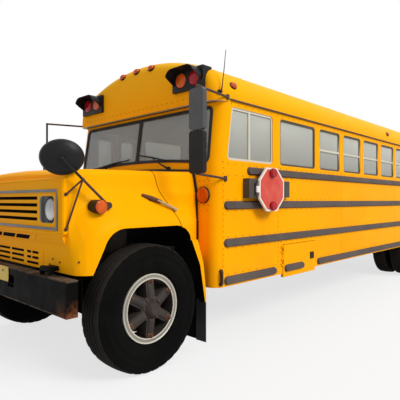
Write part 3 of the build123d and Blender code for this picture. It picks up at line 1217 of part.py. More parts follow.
with BuildPart() as stop_sign:
    with BuildSketch(Plane.YZ.offset(STOP_X[0])):
        with Locations((STOP_Y, STOP_Z)):
            RegularPolygon(STOP_ACROSS / 2, 8, major_radius=False, rotation=22.5)
    extrude(amount=STOP_X[1] - STOP_X[0])
    block(STOP_X[0], STOP_X[1], STOP_HINGE[1], STOP_Y, EAR_Z[0][1] + 6, EAR_Z[1][0] - 6)
    rod((STOP_HINGE[0], STOP_HINGE[1], EAR_Z[0][1] + 6), (STOP_HINGE[0], STOP_HINGE[1], EAR_Z[1][0] - 6), 12)
    rod((STOP_HINGE[0], STOP_HINGE[1], 1400), (STOP_HINGE[0], STOP_HINGE[1], 1700), 6 + PIN_CLEAR, Mode.SUBTRACT)
    for dz in (-172, 172):
        rod((STOP_X[0] - 34, STOP_Y, STOP_Z + dz), (STOP_X[1] + 34, STOP_Y, STOP_Z + dz), 44)
save(stop_sign, "stop_sign")

# Mud flaps behind the wheels: y, bottom z, top z, x from, x to
with BuildPart() as mud_flaps:
    for side_name, side in SIDES:
        for y, z0, z1, x0, x1 in ((AXLE_F + MUD_FLAP_Y, 110, 500, 1060, 1180), (AXLE_R + 660, 140, FLOOR_Z - FLOOR_T, 610, 1150)):
            xs = sorted((side * x0, side * x1))
            block(xs[0], xs[1], y, y + 10, z0, z1)
save(mud_flaps, "mud_flaps")
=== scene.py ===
# %% [markdown]
# # A yellow school bus, dressed on its CAD frame
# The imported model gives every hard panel, wheel and lamp at its true place in metres.
# This lesson lights it, gives each surface its finish, and adds the small pieces that
# sheet metal, rubber and glass need before they look real: rivets, seams, wipers, nuts.

from math import cos, pi, radians, sin, sqrt

import bmesh
import bpy
from mathutils import Matrix, Vector


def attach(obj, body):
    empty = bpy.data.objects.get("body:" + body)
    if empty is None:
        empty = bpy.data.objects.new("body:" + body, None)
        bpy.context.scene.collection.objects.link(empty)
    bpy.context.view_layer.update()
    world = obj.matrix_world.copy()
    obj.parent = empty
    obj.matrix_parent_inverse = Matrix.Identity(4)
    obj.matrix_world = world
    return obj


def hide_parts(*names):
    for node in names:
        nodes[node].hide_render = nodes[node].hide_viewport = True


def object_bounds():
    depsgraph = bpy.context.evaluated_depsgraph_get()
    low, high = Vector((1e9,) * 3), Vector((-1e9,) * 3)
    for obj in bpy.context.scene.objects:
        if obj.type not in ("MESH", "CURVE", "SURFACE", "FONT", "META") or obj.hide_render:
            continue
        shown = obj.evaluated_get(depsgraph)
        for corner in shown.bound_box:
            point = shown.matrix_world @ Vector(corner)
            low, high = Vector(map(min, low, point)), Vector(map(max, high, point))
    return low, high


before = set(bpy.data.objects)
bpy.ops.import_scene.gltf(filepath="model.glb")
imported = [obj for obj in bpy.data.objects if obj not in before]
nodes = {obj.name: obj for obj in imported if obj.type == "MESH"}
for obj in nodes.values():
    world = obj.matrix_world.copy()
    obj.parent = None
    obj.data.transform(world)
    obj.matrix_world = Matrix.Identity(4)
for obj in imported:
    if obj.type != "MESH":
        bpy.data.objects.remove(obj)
cad_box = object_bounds()

# %% [markdown]
# ## Stations of the bus
# A coach builder measures along the bus from the front axle. The same stations are used
# here, so that a rivet or a seam is placed by the number a builder would read off a tape.

# %% Stations and heights
AXLE_F = -4.4875
AXLE_R = 1.9645
SIDE = 1.210
WHEEL_Z = 0.527


def st(y):
    return AXLE_F + y


HOOD_FRONT = st(-0.695)
FRONT_WALL = st(0.725)
HEADER = st(0.735)
REAR_WALL = 5.1525
print("front axle at", AXLE_F, "rear axle at", AXLE_R)

# %% [markdown]
# ## Camera
# The photograph was taken at a standing person's chest height, off the front left corner.
# A lens of 38 mm on a 36 mm wide square frame gives the same lines running to the rear.

# %% Camera
camera_data = bpy.data.cameras.new("camera")
camera_data.lens = 38.16
camera_data.sensor_width = 36.0
camera = bpy.data.objects.new("camera", camera_data)
bpy.context.collection.objects.link(camera)
camera.location = (3.8191, st(-2.2499), 1.412)
camera.rotation_euler = (radians(90.06), 0.0, radians(43.42))
scene = bpy.context.scene
scene.camera = camera
scene.view_settings.view_transform = "Standard"
print("camera stands at", tuple(round(v, 3) for v in camera.location))

# %% [markdown]
# ## Floor
# A studio floor that runs out of sight: one large square under the tyres, named stage_floor.

# %% Floor
FLOOR_HALF = 60
floor_mesh = bpy.data.meshes.new("stage_floor")
floor_mesh.from_pydata(
    [(u * FLOOR_HALF, v * FLOOR_HALF, 0) for u, v in ((-1, -1), (1, -1), (1, 1), (-1, 1))],
    [], [(0, 1, 2, 3)],
)
stage_floor = bpy.data.objects.new("stage_floor", floor_mesh)
bpy.context.collection.objects.link(stage_floor)
print("floor laid,", 2 * FLOOR_HALF, "m square")

# %% [markdown]
# ## Floor finish
# To the camera, and in reflections, the floor is mostly its own white, so that it joins the
# backdrop; the rest is an ordinary pale surface that takes the shadow of the bus. Other
# rays meet a plain grey, which keeps the bounce low. Light Path tells the rays apart.

# %% Floor finish
FLOOR_WHITE_SHARE = 0.72


def new_finish(name):
    mat = bpy.data.materials.new(name)
    mat.use_nodes = True
    tree = mat.node_tree
    return mat, tree, tree.nodes["Principled BSDF"]


def wire(tree, *pairs):
    for source, target in pairs:
        tree.links.new(source, target)


def seen_rays(tree):
    rays = tree.nodes.new("ShaderNodeLightPath").outputs
    first, both = (tree.nodes.new("ShaderNodeMath") for _ in range(2))
    first.operation = both.operation = "MAXIMUM"
    wire(
        tree,
        (rays["Is Camera Ray"], first.inputs[0]), (rays["Is Glossy Ray"], first.inputs[1]),
        (first.outputs[0], both.inputs[0]), (rays["Is Transmission Ray"], both.inputs[1]),
    )
    return both.outputs[0]


floor_finish, tree, bsdf = new_finish("stage_pale")
bsdf.inputs["Base Color"].default_value = (0.80, 0.80, 0.80, 1)
bsdf.inputs["Roughness"].default_value = 0.9
white = tree.nodes.new("ShaderNodeEmission")
white.inputs["Color"].default_value = (1, 1, 1, 1)
share = tree.nodes.new("ShaderNodeMixShader")
share.inputs["Fac"].default_value = FLOOR_WHITE_SHARE
plain = tree.nodes.new("ShaderNodeBsdfDiffuse")
plain.inputs["Color"].default_value = (0.55, 0.55, 0.55, 1)
pick = tree.nodes.new("ShaderNodeMixShader")
wire(
    tree,
    (bsdf.outputs["BSDF"], share.inputs[1]), (white.outputs["Emission"], share.inputs[2]),
    (seen_rays(tree), pick.inputs["Fac"]), (plain.outputs["BSDF"], pick.inputs[1]),
    (share.outputs["Shader"], pick.inputs[2]),
    (pick.outputs["Shader"], tree.nodes["Material Output"].inputs["Surface"]),
)
floor_mesh.materials.append(floor_finish)
print("floor white share", FLOOR_WHITE_SHARE)

# %% [markdown]
# ## Sky and sun
# The flank is in the sun and the nose is in soft shade, so one wide sun comes from the
# bus's left, high and a little behind the front axle, and a pale sky fills the rest.

# %% Sky and sun
SUN_FROM = Vector((0.80, 0.12, 0.62))
world = bpy.data.worlds.new("pale_sky")
scene.world = world
world.use_nodes = True
world_tree = world.node_tree
sky = world_tree.nodes["Background"]
sky.inputs["Color"].default_value = (0.93, 0.96, 1.0, 1)
sky.inputs["Strength"].default_value = 0.62
backdrop = world_tree.nodes.new("ShaderNodeBackground")
backdrop.inputs["Color"].default_value = (1, 1, 1, 1)
backdrop.inputs["Strength"].default_value = 1.0
choose = world_tree.nodes.new("ShaderNodeMixShader")
wire(
    world_tree,
    (seen_rays(world_tree), choose.inputs["Fac"]), (sky.outputs["Background"], choose.inputs[1]),
    (backdrop.outputs["Background"], choose.inputs[2]),
    (choose.outputs["Shader"], world_tree.nodes["World Output"].inputs["Surface"]),
)
sun_data = bpy.data.lights.new("sun", "SUN")
sun_data.energy = 2.3
sun_data.angle = radians(25)
sun_data.color = (1.0, 0.97, 0.92)
sun = bpy.data.objects.new("sun", sun_data)
bpy.context.collection.objects.link(sun)
sun.rotation_euler = SUN_FROM.to_track_quat("Z", "Y").to_euler()
print("sun energy", sun_data.energy, "sky strength", sky.inputs["Strength"].default_value)

# %% [markdown]
# ## Helpers for finishes
# Each finish is one node tree: a base colour, a slow noise that lets it fade, a fine noise
# for chips or dust, and a bump. Object coordinates are metres here, so a scale of 40 in a
# noise is a grain of about 25 mm on the real bus.

# %% Noise and colour


def coords(tree):
    return tree.nodes.new("ShaderNodeTexCoord").outputs["Object"]


def noise(tree, scale, detail=3.0, rough=0.6, stretch=None):
    n = tree.nodes.new("ShaderNodeTexNoise")
    n.inputs["Scale"].default_value = scale
    n.inputs["Detail"].default_value = detail
    n.inputs["Roughness"].default_value = rough
    src = coords(tree)
    if stretch:
        m = tree.nodes.new("ShaderNodeMapping")
        m.inputs["Scale"].default_value = stretch
        tree.links.new(src, m.inputs["Vector"])
        src = m.outputs["Vector"]
    tree.links.new(src, n.inputs["Vector"])
    return n.outputs["Fac"]


def ramp(tree, src, low, high, a=0.0, b=1.0):
    n = tree.nodes.new("ShaderNodeMapRange")
    for socket, value in (("From Min", low), ("From Max", high), ("To Min", a), ("To Max", b)):
        n.inputs[socket].default_value = value
    tree.links.new(src, n.inputs["Value"])
    return n.outputs["Result"]


def mix(tree, fac, a, b):
    n = tree.nodes.new("ShaderNodeMix")
    n.data_type = "RGBA"
    tree.links.new(fac, n.inputs["Factor"])
    for value, socket in ((a, n.inputs[6]), (b, n.inputs[7])):
        if isinstance(value, tuple):
            socket.default_value = (*value, 1)
        else:
            tree.links.new(value, socket)
    return n.outputs[2]


print("noise and colour helpers ready")

# %% [markdown]
# ## Sums on nodes
# Some finishes depend on a place: a height on the skirt, a distance from a fold. Math nodes
# work on the separate coordinates for that. A bump node then makes small hollows out of a
# noise, which costs no mesh at all.

# %% Sums on nodes


def calc(tree, op, a, b=0.0):
    n = tree.nodes.new("ShaderNodeMath")
    n.operation = op
    for value, socket in ((a, n.inputs[0]), (b, n.inputs[1])):
        if isinstance(value, (int, float)):
            socket.default_value = value
        else:
            tree.links.new(value, socket)
    return n.outputs[0]


def times(tree, a, b):
    return calc(tree, "MULTIPLY", a, b)


def distance(tree, src, value):
    return calc(tree, "ABSOLUTE", calc(tree, "SUBTRACT", src, value))


def axes_of(tree):
    n = tree.nodes.new("ShaderNodeSeparateXYZ")
    tree.links.new(coords(tree), n.inputs[0])
    return n.outputs


def bump(tree, bsdf, src, strength, depth):
    n = tree.nodes.new("ShaderNodeBump")
    n.inputs["Strength"].default_value = strength
    n.inputs["Distance"].default_value = depth
    wire(tree, (src, n.inputs["Height"]), (n.outputs["Normal"], bsdf.inputs["Normal"]))


print("sums ready")

# %% [markdown]
# ## A worn finish, and who wears it
# Most surfaces of an old bus are one colour that has faded in patches and chipped to what
# lies below. One function builds that tree from a few numbers. The others put a finish on
# a whole CAD node, or on those of its faces that pass a test, so the mesh is left alone.

# %% A worn finish, and who wears it


def coat(tree, bsdf, colour, rough, shine):
    wire(tree, (colour, bsdf.inputs["Base Color"]), (rough, bsdf.inputs["Roughness"]))
    bsdf.inputs["Specular IOR Level"].default_value = shine


def worn(name, base, fade, chip, chip_at, rough, grain=30.0, metal=0.0, shine=0.3):
    mat, tree, bsdf = new_finish(name)
    slow = mix(tree, ramp(tree, noise(tree, 2.1), 0.35, 0.7), base, fade)
    spots = ramp(tree, noise(tree, grain, 6.0, 0.7), chip_at, chip_at + 0.06)
    dull = ramp(tree, noise(tree, 7.0), 0.3, 0.7, rough - 0.08, rough + 0.1)
    coat(tree, bsdf, mix(tree, spots, slow, chip), dull, shine)
    bsdf.inputs["Metallic"].default_value = metal
    bump(tree, bsdf, noise(tree, grain * 2.0), 0.35, 0.0006)
    return mat


def wear_all(mat, *names):
    for n in names:
        data = nodes[n].data
        data.materials.clear()
        data.materials.append(mat)


def wear_faces(data, mat, test):
    data.materials.append(mat)
    slot_at = len(data.materials) - 1
    count = 0
    for face in data.polygons:
        if test(face.center, face.normal):
            face.material_index = slot_at
            count += 1
    return count


def wear_some(name, mat, test):
    return wear_faces(nodes[name].data, mat, test)


print("finish helpers ready")

# %% [markdown]
# ## Yellow paint
# Fleet yellow is a strong orange-yellow that turns paler towards the top of the roof, holds
# dust low down on the skirt and shows runs of dirt under the rails. Old paint has little
# gloss, so the specular level is low: at full gloss a white sky would wash the yellow out.
# The part of the front wall inside the wheel arch is sprayed with black under-coating.

# %% Yellow paint
UNDERCOAT_HALF, UNDERCOAT_TOP = 0.985, 1.215
yellow, tree, bsdf = new_finish("fleet_yellow")
axes = axes_of(tree)
patches = ramp(tree, noise(tree, 1.3), 0.35, 0.7)
faded = mix(tree, patches, (1.0, 0.415, 0.0), (0.97, 0.375, 0.0))
# Paler towards the top of the roof, above 2.35 m.
high = mix(tree, ramp(tree, axes[2], 2.35, 2.9), faded, (1.0, 0.50, 0.012))
dust = ramp(tree, noise(tree, 5.0, 6.0, 0.7), 0.42, 0.75)
dirt = times(tree, ramp(tree, axes[2], 1.0, 0.45), dust)
dusty = mix(tree, times(tree, dirt, 0.40), high, (0.36, 0.19, 0.03))
streaks = ramp(tree, noise(tree, 1.0, 5.0, 0.7, (14, 14, 1.2)), 0.60, 0.80, 0.0, 0.14)
streaked = mix(tree, streaks, dusty, (0.46, 0.22, 0.01))
chips = ramp(tree, noise(tree, 16.0, 8.0, 0.75), 0.735, 0.76, 0.0, 0.75)
chipped = mix(tree, chips, streaked, (0.30, 0.12, 0.02))
near_wall = calc(tree, "LESS_THAN", distance(tree, axes[1], FRONT_WALL), 0.012)
inboard = calc(tree, "LESS_THAN", calc(tree, "ABSOLUTE", axes[0]), UNDERCOAT_HALF)
low = calc(tree, "LESS_THAN", axes[2], UNDERCOAT_TOP)
in_arch = times(tree, near_wall, times(tree, inboard, low))
sprayed = mix(tree, in_arch, chipped, (0.010, 0.009, 0.008))
coat(tree, bsdf, sprayed, ramp(tree, noise(tree, 3.0), 0.3, 0.7, 0.36, 0.5), 0.03)
bump(tree, bsdf, noise(tree, 1.6, 2.0), 0.25, 0.004)
wear_all(
    yellow, "front_wall", "side_left", "side_right", "roof", "rear_wall", "hood_shell", "grille",
    "cowl", "entrance_leaf_front", "entrance_leaf_rear", "emergency_door", "battery_door",
)
print("yellow on", sum(yellow.name in n.data.materials for n in nodes.values()), "nodes")

# %% [markdown]
# ## Smooth skins
# The panels come as flat triangles. A small geometry-node modifier welds and shades them and
# keeps every fold over 24 degrees sharp, so a pressed wing reads as one sheet of metal.

# %% Smooth skins
SHARP_FOLD = radians(24)
smoother = bpy.data.node_groups.new("smooth_skin", "GeometryNodeTree")
for way in ("INPUT", "OUTPUT"):
    smoother.interface.new_socket("Geometry", in_out=way, socket_type="NodeSocketGeometry")
gate, end = (smoother.nodes.new(f"NodeGroup{way}") for way in ("Input", "Output"))
soft_faces, hard_edges = (smoother.nodes.new("GeometryNodeSetShadeSmooth") for _ in range(2))
soft_faces.domain, hard_edges.domain = "FACE", "EDGE"
hard_edges.inputs["Shade Smooth"].default_value = False
fold = smoother.nodes.new("GeometryNodeInputMeshEdgeAngle")
limit = smoother.nodes.new("FunctionNodeCompare")
limit.inputs["B"].default_value = SHARP_FOLD
weld = smoother.nodes.new("GeometryNodeMergeByDistance")
weld.inputs["Distance"].default_value = 0.0002
wire(
    smoother,
    (gate.outputs[0], weld.inputs["Geometry"]), (weld.outputs[0], soft_faces.inputs["Geometry"]),
    (soft_faces.outputs[0], hard_edges.inputs["Geometry"]),
    (fold.outputs["Unsigned Angle"], limit.inputs["A"]),
    (limit.outputs[0], hard_edges.inputs["Selection"]), (hard_edges.outputs[0], end.inputs[0]),
)
SMOOTHED = ("hood_shell", "cowl", "hood_mirrors", "roof", "front_wall")
for name in SMOOTHED:
    nodes[name].modifiers.new("smooth skin", "NODES").node_group = smoother
print("smoothed skins", len(SMOOTHED))

# %% [markdown]
# ## Inside lining
# Inside, the walls and roof are lined in pale enamel. A face belongs to the lining when it
# looks back towards the middle of the aisle, so the same solids carry both finishes.

# %% Inside lining
AISLE_MID_Z, AISLE_ENDS, LINING_FOOT = 1.75, (st(1.2), 4.6), 0.95
LINED = (
    "front_wall", "side_left", "side_right", "roof", "rear_wall", "emergency_door",
    "entrance_leaf_front", "entrance_leaf_rear",
)
lining = worn(
    "cabin_lining", (0.44, 0.46, 0.45), (0.52, 0.54, 0.52), (0.34, 0.33, 0.30), 0.72, 0.5, 25
)


def looks_inward(centre, normal):
    aisle = Vector((0, min(max(centre.y, AISLE_ENDS[0]), AISLE_ENDS[1]), AISLE_MID_Z))
    away = centre - aisle
    return normal.dot(away) < -0.35 * away.length and centre.z > LINING_FOOT


lined = sum(wear_some(n, lining, looks_inward) for n in LINED)
print("lining on", lined, "faces")

# %% [markdown]
# ## Dark paints, rubber and plastic
# Dark paint chips to primer on the rails; rubber is grey with dust; the frame below is
# black with road dirt. One function with other numbers makes each of them.

# %% Dark paints, rubber and plastic
rail_paint = worn(
    "rail_paint", (0.078, 0.064, 0.062), (0.115, 0.092, 0.082), (0.36, 0.22, 0.10), 0.655, 0.55, 22,
    shine=0.12,
)
under_black = worn(
    "under_black", (0.012, 0.012, 0.012), (0.035, 0.03, 0.025), (0.09, 0.06, 0.035), 0.66, 0.7, 18,
    shine=0.15,
)
# Near-black with almost no shine: the black of the aprons and brake plates, and painted shade on
# the hood's inner side and on the sheets behind the openings in the nose.
black_and_shade = worn(
    "black_and_shade", (0.0016, 0.0016, 0.0016), (0.003, 0.0028, 0.0026), (0.007, 0.006, 0.005), 0.66,
    0.8, 18, shine=0.03,
)
rubber = worn(
    "seal_rubber", (0.014, 0.014, 0.014), (0.03, 0.03, 0.03), (0.07, 0.065, 0.06), 0.68, 0.65, 60,
    shine=0.2,
)
plastic = worn(
    "black_plastic", (0.007, 0.007, 0.008), (0.012, 0.012, 0.012), (0.03, 0.03, 0.03), 0.7, 0.4, 80,
    shine=0.18,
)
wear_all(rail_paint, "rub_rails")
wear_all(
    under_black, "chassis_frame", "front_axle", "rear_axle", "knuckle_left", "knuckle_right",
    "tie_rod", "leaf_springs", "driveline",
)
wear_all(rubber, "windscreen_rubber", "cowl_seal", "mud_flaps")
wear_all(plastic, "warning_lamp_boxes", "hood_mirrors", "steering_wheel", "side_mirrors")
print("dark paint on", sum(under_black.name in n.data.materials for n in nodes.values()), "nodes")

# %% [markdown]
# ## Boards, alloy and iron
# The stop arm is bolted to a weathered board, the sashes are dull alloy, and what is below
# the floor is steel or cast iron with rust in it. A metallic share under one keeps them
# from turning black where they have little to reflect.

# %% Boards, alloy and iron
board = worn(
    "weathered_board", (0.035, 0.031, 0.028), (0.075, 0.062, 0.05), (0.15, 0.12, 0.085), 0.6, 0.6,
    14,
)
sash = worn(
    "sash_alloy", (0.56, 0.52, 0.43), (0.66, 0.62, 0.52), (0.30, 0.24, 0.16), 0.7, 0.42, 40, 0.2
)
steel = worn(
    "road_steel", (0.10, 0.088, 0.075), (0.15, 0.12, 0.095), (0.16, 0.075, 0.035), 0.6, 0.55, 30,
    0.5,
)
rust = worn(
    "rusty_iron", (0.085, 0.032, 0.016), (0.14, 0.058, 0.028), (0.035, 0.022, 0.018), 0.58, 0.7, 60,
    0.1,
)
boom_iron = worn(
    "boom_iron", (0.045, 0.022, 0.017), (0.085, 0.042, 0.030), (0.20, 0.16, 0.13), 0.64, 0.55, 70,
    0.2,
)
cast = worn(
    "cast_spokes", (0.032, 0.027, 0.025), (0.060, 0.048, 0.042), (0.11, 0.055, 0.032), 0.62, 0.6,
    45, 0.1, shine=0.15,
)
rim_paint = worn(
    "rim_cream", (0.50, 0.47, 0.40), (0.62, 0.58, 0.49), (0.22, 0.12, 0.07), 0.66, 0.42, 40, 0.15
)
mat_floor = worn(
    "floor_rubber", (0.05, 0.05, 0.05), (0.08, 0.08, 0.07), (0.12, 0.11, 0.1), 0.7, 0.7, 50
)
wear_all(board, "stop_arm_base")
wear_all(sash, "window_sashes")
wear_all(steel, "exhaust", "fuel_tank", "engine")
wear_all(mat_floor, "floor")
print("steel on", sum(steel.name in n.data.materials for n in nodes.values()), "nodes")

# %% [markdown]
# ## Sash frames
# The driver's sliding window keeps its cream frame. In the rows behind it only the meeting
# rails are still pale; the rest of each frame is dark, partly old sealant and partly painted
# shade along the frame. The faces are picked by where they lie, as are the rail and the latch
# on the battery door.

# %% Sash frames
MEETING_RAIL_Z = 2.057
BATTERY_DOOR_FACE = 1.2165
# Dark sash paint: partly old sealant, partly painted shade along the frames.
sealant_and_shade = worn(
    "sealant_and_shade", (0.085, 0.072, 0.050), (0.13, 0.105, 0.07), (0.30, 0.22, 0.12), 0.68, 0.6, 40,
    shine=0.15,
)


def behind_driver(c, n):
    return c.y > st(1.75) and abs(c.z - MEETING_RAIL_Z) > 0.024


def on_battery_door(y0, y1, z0, z1):
    return lambda c, n: c.x > BATTERY_DOOR_FACE and z0 < c.z < z1 and st(y0) < c.y < st(y1)


dark_sashes = wear_some("window_sashes", sealant_and_shade, behind_driver)
rail_faces = on_battery_door(1.886, 2.312, 0.598, 0.686)
latch_faces = on_battery_door(2.46, 2.56, 0.699, 0.781)
door_rail = wear_some("battery_door", rail_paint, rail_faces)
door_latch = wear_some("battery_door", under_black, latch_faces)
print("dark sash faces", dark_sashes, "door rail faces", door_rail, "latch faces", door_latch)

# %% [markdown]
# ## Bumper
# A folded steel channel painted black. The paint wears through along the folds, where feet
# and chains rub, so a band at the top and bottom edges is mixed to brown by a noise. The
# pivots of the hood take the same paint. The hood's inner side is painted near-black and the
# walls of the nose slots are painted dark; both are painted shade.

# %% Bumper
TOP_FOLD, LOW_FOLD = 0.850, 0.592
HOOD_MID = Vector((0, st(-0.05), 1.05))
bumper_paint, tree, bsdf = new_finish("bumper_paint")
axes = axes_of(tree)
patches = ramp(tree, noise(tree, 2.4), 0.35, 0.7)
body = mix(tree, patches, (0.0022, 0.0021, 0.0020), (0.0048, 0.0042, 0.0038))
top_band, low_band = (
    ramp(tree, distance(tree, axes[2], z), 0.012, 0.002) for z in (TOP_FOLD, LOW_FOLD)
)
rubbed = ramp(tree, noise(tree, 9.0, 6.0, 0.7), 0.36, 0.56)
folds = times(tree, calc(tree, "MAXIMUM", top_band, low_band), rubbed)
scuffed = mix(tree, folds, body, (0.12, 0.085, 0.062))
corner = times(tree, ramp(tree, axes[0], 0.98, 1.15), ramp(tree, axes[2], 0.72, 0.60))
rusted = times(tree, corner, ramp(tree, noise(tree, 11.0, 7.0, 0.7), 0.42, 0.55))
colour = mix(tree, rusted, scuffed, (0.17, 0.06, 0.025))
coat(tree, bsdf, colour, ramp(tree, noise(tree, 8.0), 0.3, 0.7, 0.45, 0.65), 0.03)
bump(tree, bsdf, noise(tree, 40.0, 4.0), 0.3, 0.0008)
wear_all(bumper_paint, "front_bumper", "rear_bumper")


def on_pivot(c, n):
    return c.y < st(-0.668) and c.z < 0.94 and 0.70 < abs(c.x) < 0.90


def turned_in(c, n):
    away = c - HOOD_MID
    return n.dot(away) < -0.25 * away.length


# The walls of the slots in the lip and the grid are painted dark: painted shade.
def slot_wall_shade(c, n):
    grid = 0.91 < c.z < 1.0 and st(-0.6595) < c.y < st(-0.63)
    lip = 1.096 < c.z < 1.128 and c.y > st(-0.688) and abs(n.y) < 0.9 and n.z > -0.99
    return abs(c.x) < 0.60 and (grid or (lip and abs(n.x) + abs(n.z) > 0.97))


pivots = wear_some("hood_shell", bumper_paint, on_pivot)
# The hood's inner faces are painted near-black: painted shade.
shaded_inner_faces = sum(wear_some(n, black_and_shade, turned_in) for n in ("hood_shell", "cowl"))
shaded_slot_walls = wear_some("hood_shell", under_black, slot_wall_shade)
print("bumper painted, pivot faces", pivots, "inner faces", shaded_inner_faces, "slot edges", shaded_slot_walls)

# %% [markdown]
# ## Glass and lenses
# The side glass is dusty, so part of its light comes from a pale film on it and the rest
# goes through; towards the foot of the pane the film turns darker, a painted reflection.
# The windscreen is cleaner and shows the far windows. A lens is thick coloured plastic,
# with moulded ribs made by a noise that is stretched along one axis.

# %% Glass and lenses


def scaled(colour, k):
    return tuple(v * k for v in colour)


def clear_glass(name, tint, rough, through, low=0.0):
    mat, tree, bsdf = new_finish(name)
    film = mix(tree, ramp(tree, noise(tree, 1.1, 4.0), 0.3, 0.75), tint, scaled(tint, 0.9))
    # Darker towards the foot of the pane: a painted reflection.
    painted_reflection_fade = ramp(tree, axes_of(tree)[2], 2.22, 1.80, 0.0, low)
    film = mix(tree, painted_reflection_fade, film, scaled(tint, 0.42))
    dull = ramp(tree, noise(tree, 6.0), 0.3, 0.7, rough, rough + 0.05)
    wire(tree, (film, bsdf.inputs["Base Color"]), (dull, bsdf.inputs["Roughness"]))
    bsdf.inputs["Transmission Weight"].default_value = through
    bsdf.inputs["IOR"].default_value = 1.15
    return mat


def lens_glass(name, deep, pale, shine):
    mat, tree, bsdf = new_finish(name)
    ribs = noise(tree, 45.0, 2.0, 0.5, (1, 1, 0.15))
    tree.links.new(mix(tree, ramp(tree, ribs, 0.3, 0.7), deep, pale), bsdf.inputs["Base Color"])
    bsdf.inputs["Roughness"].default_value = 0.16
    bsdf.inputs["Specular IOR Level"].default_value = shine
    bump(tree, bsdf, ribs, 0.5, 0.002)
    return mat


side_pane = clear_glass("side_pane", (0.74, 0.75, 0.69), 0.03, 0.46, 0.62)
screen_pane = clear_glass("screen_pane", (0.80, 0.85, 0.86), 0.02, 0.78)
amber = lens_glass("amber_lens", (0.46, 0.058, 0.002), (0.74, 0.125, 0.004), 0.25)
red = lens_glass("red_lens", (0.26, 0.002, 0.006), (0.50, 0.006, 0.014), 0.25)
wear_all(side_pane, "side_glass", "entrance_glass_front", "entrance_glass_rear", "emergency_glass")
wear_all(screen_pane, "windscreen")
print("glass and lenses set")

# %% [markdown]
# ## Helpers for pieces
# Small hardware is made the way a turner or a sheet-metal worker would: a profile turned
# about an axis, a loft between rings, or a section drawn along a line. Each helper returns
# vertices and faces, so several shapes can be joined into one piece.

# %% Turning, lofting and drawing
AX_X, AX_Y, AX_Z, FORWARD = (1, 0, 0), (0, 1, 0), (0, 0, 1), (0, -1, 0)


def frame_of(axis):
    along = Vector(axis).normalized()
    side = along.cross(Vector((0, 0, 1)))
    side = side.normalized() if side.length > 0.05 else Vector((1, 0, 0))
    return along, side, along.cross(side)


def turned(profile, at, axis, steps=24, phase=0.0, squash=1.0):
    along, side, up = frame_of(axis)
    verts, rings, faces = [], [], []
    for a, r in profile:
        base = Vector(at) + along * a
        if r < 1e-6:
            rings.append([len(verts)])
            verts.append(base)
            continue
        rings.append(list(range(len(verts), len(verts) + steps)))
        for i in range(steps):
            t = 2 * pi * i / steps + phase
            verts.append(base + (side * cos(t) + up * (sin(t) * squash)) * r)
    for lo, hi in zip(rings, rings[1:]):
        for i in range(steps):
            j = (i + 1) % steps
            if len(lo) == 1:
                faces.append((lo[0], hi[i], hi[j]))
            elif len(hi) == 1:
                faces.append((lo[i], lo[j], hi[0]))
            else:
                faces.append((lo[i], lo[j], hi[j], hi[i]))
    return verts, faces


def lofted(rings, capped=True):
    verts, faces, n = [v for ring in rings for v in ring], [], len(rings[0])
    for k in range(len(rings) - 1):
        for i in range(n):
            j = (i + 1) % n
            faces.append((k * n + i, k * n + j, (k + 1) * n + j, (k + 1) * n + i))
    if capped:
        faces += [tuple(range(n)), tuple(range(len(verts) - n, len(verts)))]
    return verts, faces


def drawn(stations, section, capped=True):
    rings = []
    for point, out, up in stations:
        rings.append([Vector(point) + Vector(out) * u + Vector(up) * v for u, v in section])
    return lofted(rings, capped)


print("shape helpers ready")

# %% [markdown]
# ## From shape to piece
# A piece is one mesh with its normals turned out, smooth but for folds over 38 degrees. It
# rides on the body that carries it on the real bus and takes the material it is given.

# %% From shape to piece
SIDES = (("left", 1), ("right", -1))
SHARP_EDGE = radians(38)


def joined(*shapes):
    verts, faces = [], []
    for v, f in shapes:
        start = len(verts)
        verts += v
        faces += [tuple(i + start for i in face) for face in f]
    return verts, faces


def new_mesh(name, shape):
    mesh = bpy.data.meshes.new(name)
    mesh.from_pydata([tuple(v) for v in shape[0]], [], shape[1])
    work = bmesh.new()
    work.from_mesh(mesh)
    bmesh.ops.recalc_face_normals(work, faces=work.faces)
    work.to_mesh(mesh)
    work.free()
    return mesh


def new_object(name, mesh):
    obj = bpy.data.objects.new(name, mesh)
    bpy.context.collection.objects.link(obj)
    return obj


def piece(name, shape, mat, body, smooth=True):
    mesh = new_mesh(name, shape)
    mesh.materials.append(mat)
    obj = new_object(name, mesh)
    if smooth:
        mesh.shade_smooth()
        mesh.set_sharp_from_angle(angle=SHARP_EDGE)
    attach(obj, body)
    return obj


print("piece helpers ready")

# %% [markdown]
# ## Headlamp finishes
# The pocket is dull bright metal and the ring round the lamp is pitted. The lens is clear
# glass over a silvered bowl. Its colour is a painted reflection: pale at the foot, where the
# bowl would show the ground, and grey above. A noise stretched upright gives it flutes.

# %% Headlamp finishes
bezel_metal = worn(
    "bezel_metal", (0.20, 0.205, 0.21), (0.30, 0.305, 0.31), (0.10, 0.07, 0.05), 0.62, 0.4, 70, 0.35
)
ring_metal = worn(
    "ring_metal", (0.060, 0.046, 0.038), (0.11, 0.085, 0.07), (0.14, 0.07, 0.035), 0.58, 0.4, 80,
    0.5,
)
lamp_lens, tree, bsdf = new_finish("fluted_lens")
flutes = noise(tree, 1.0, 2.0, 0.5, (260, 30, 10))
# Pale at the foot, grey above: a painted reflection of the ground in the bowl.
painted_ground_reflection = ramp(tree, axes_of(tree)[2], 1.37, 1.29)
reflection_colour = mix(tree, painted_ground_reflection, (0.27, 0.28, 0.27), (0.78, 0.78, 0.76))
fluted = mix(tree, ramp(tree, flutes, 0.35, 0.65, 0.0, 0.5), reflection_colour, (0.86, 0.86, 0.84))
tree.links.new(fluted, bsdf.inputs["Base Color"])
bsdf.inputs["Roughness"].default_value = 0.12
bump(tree, bsdf, flutes, 0.4, 0.002)
print("headlamp finishes", bezel_metal.name, ring_metal.name, lamp_lens.name)

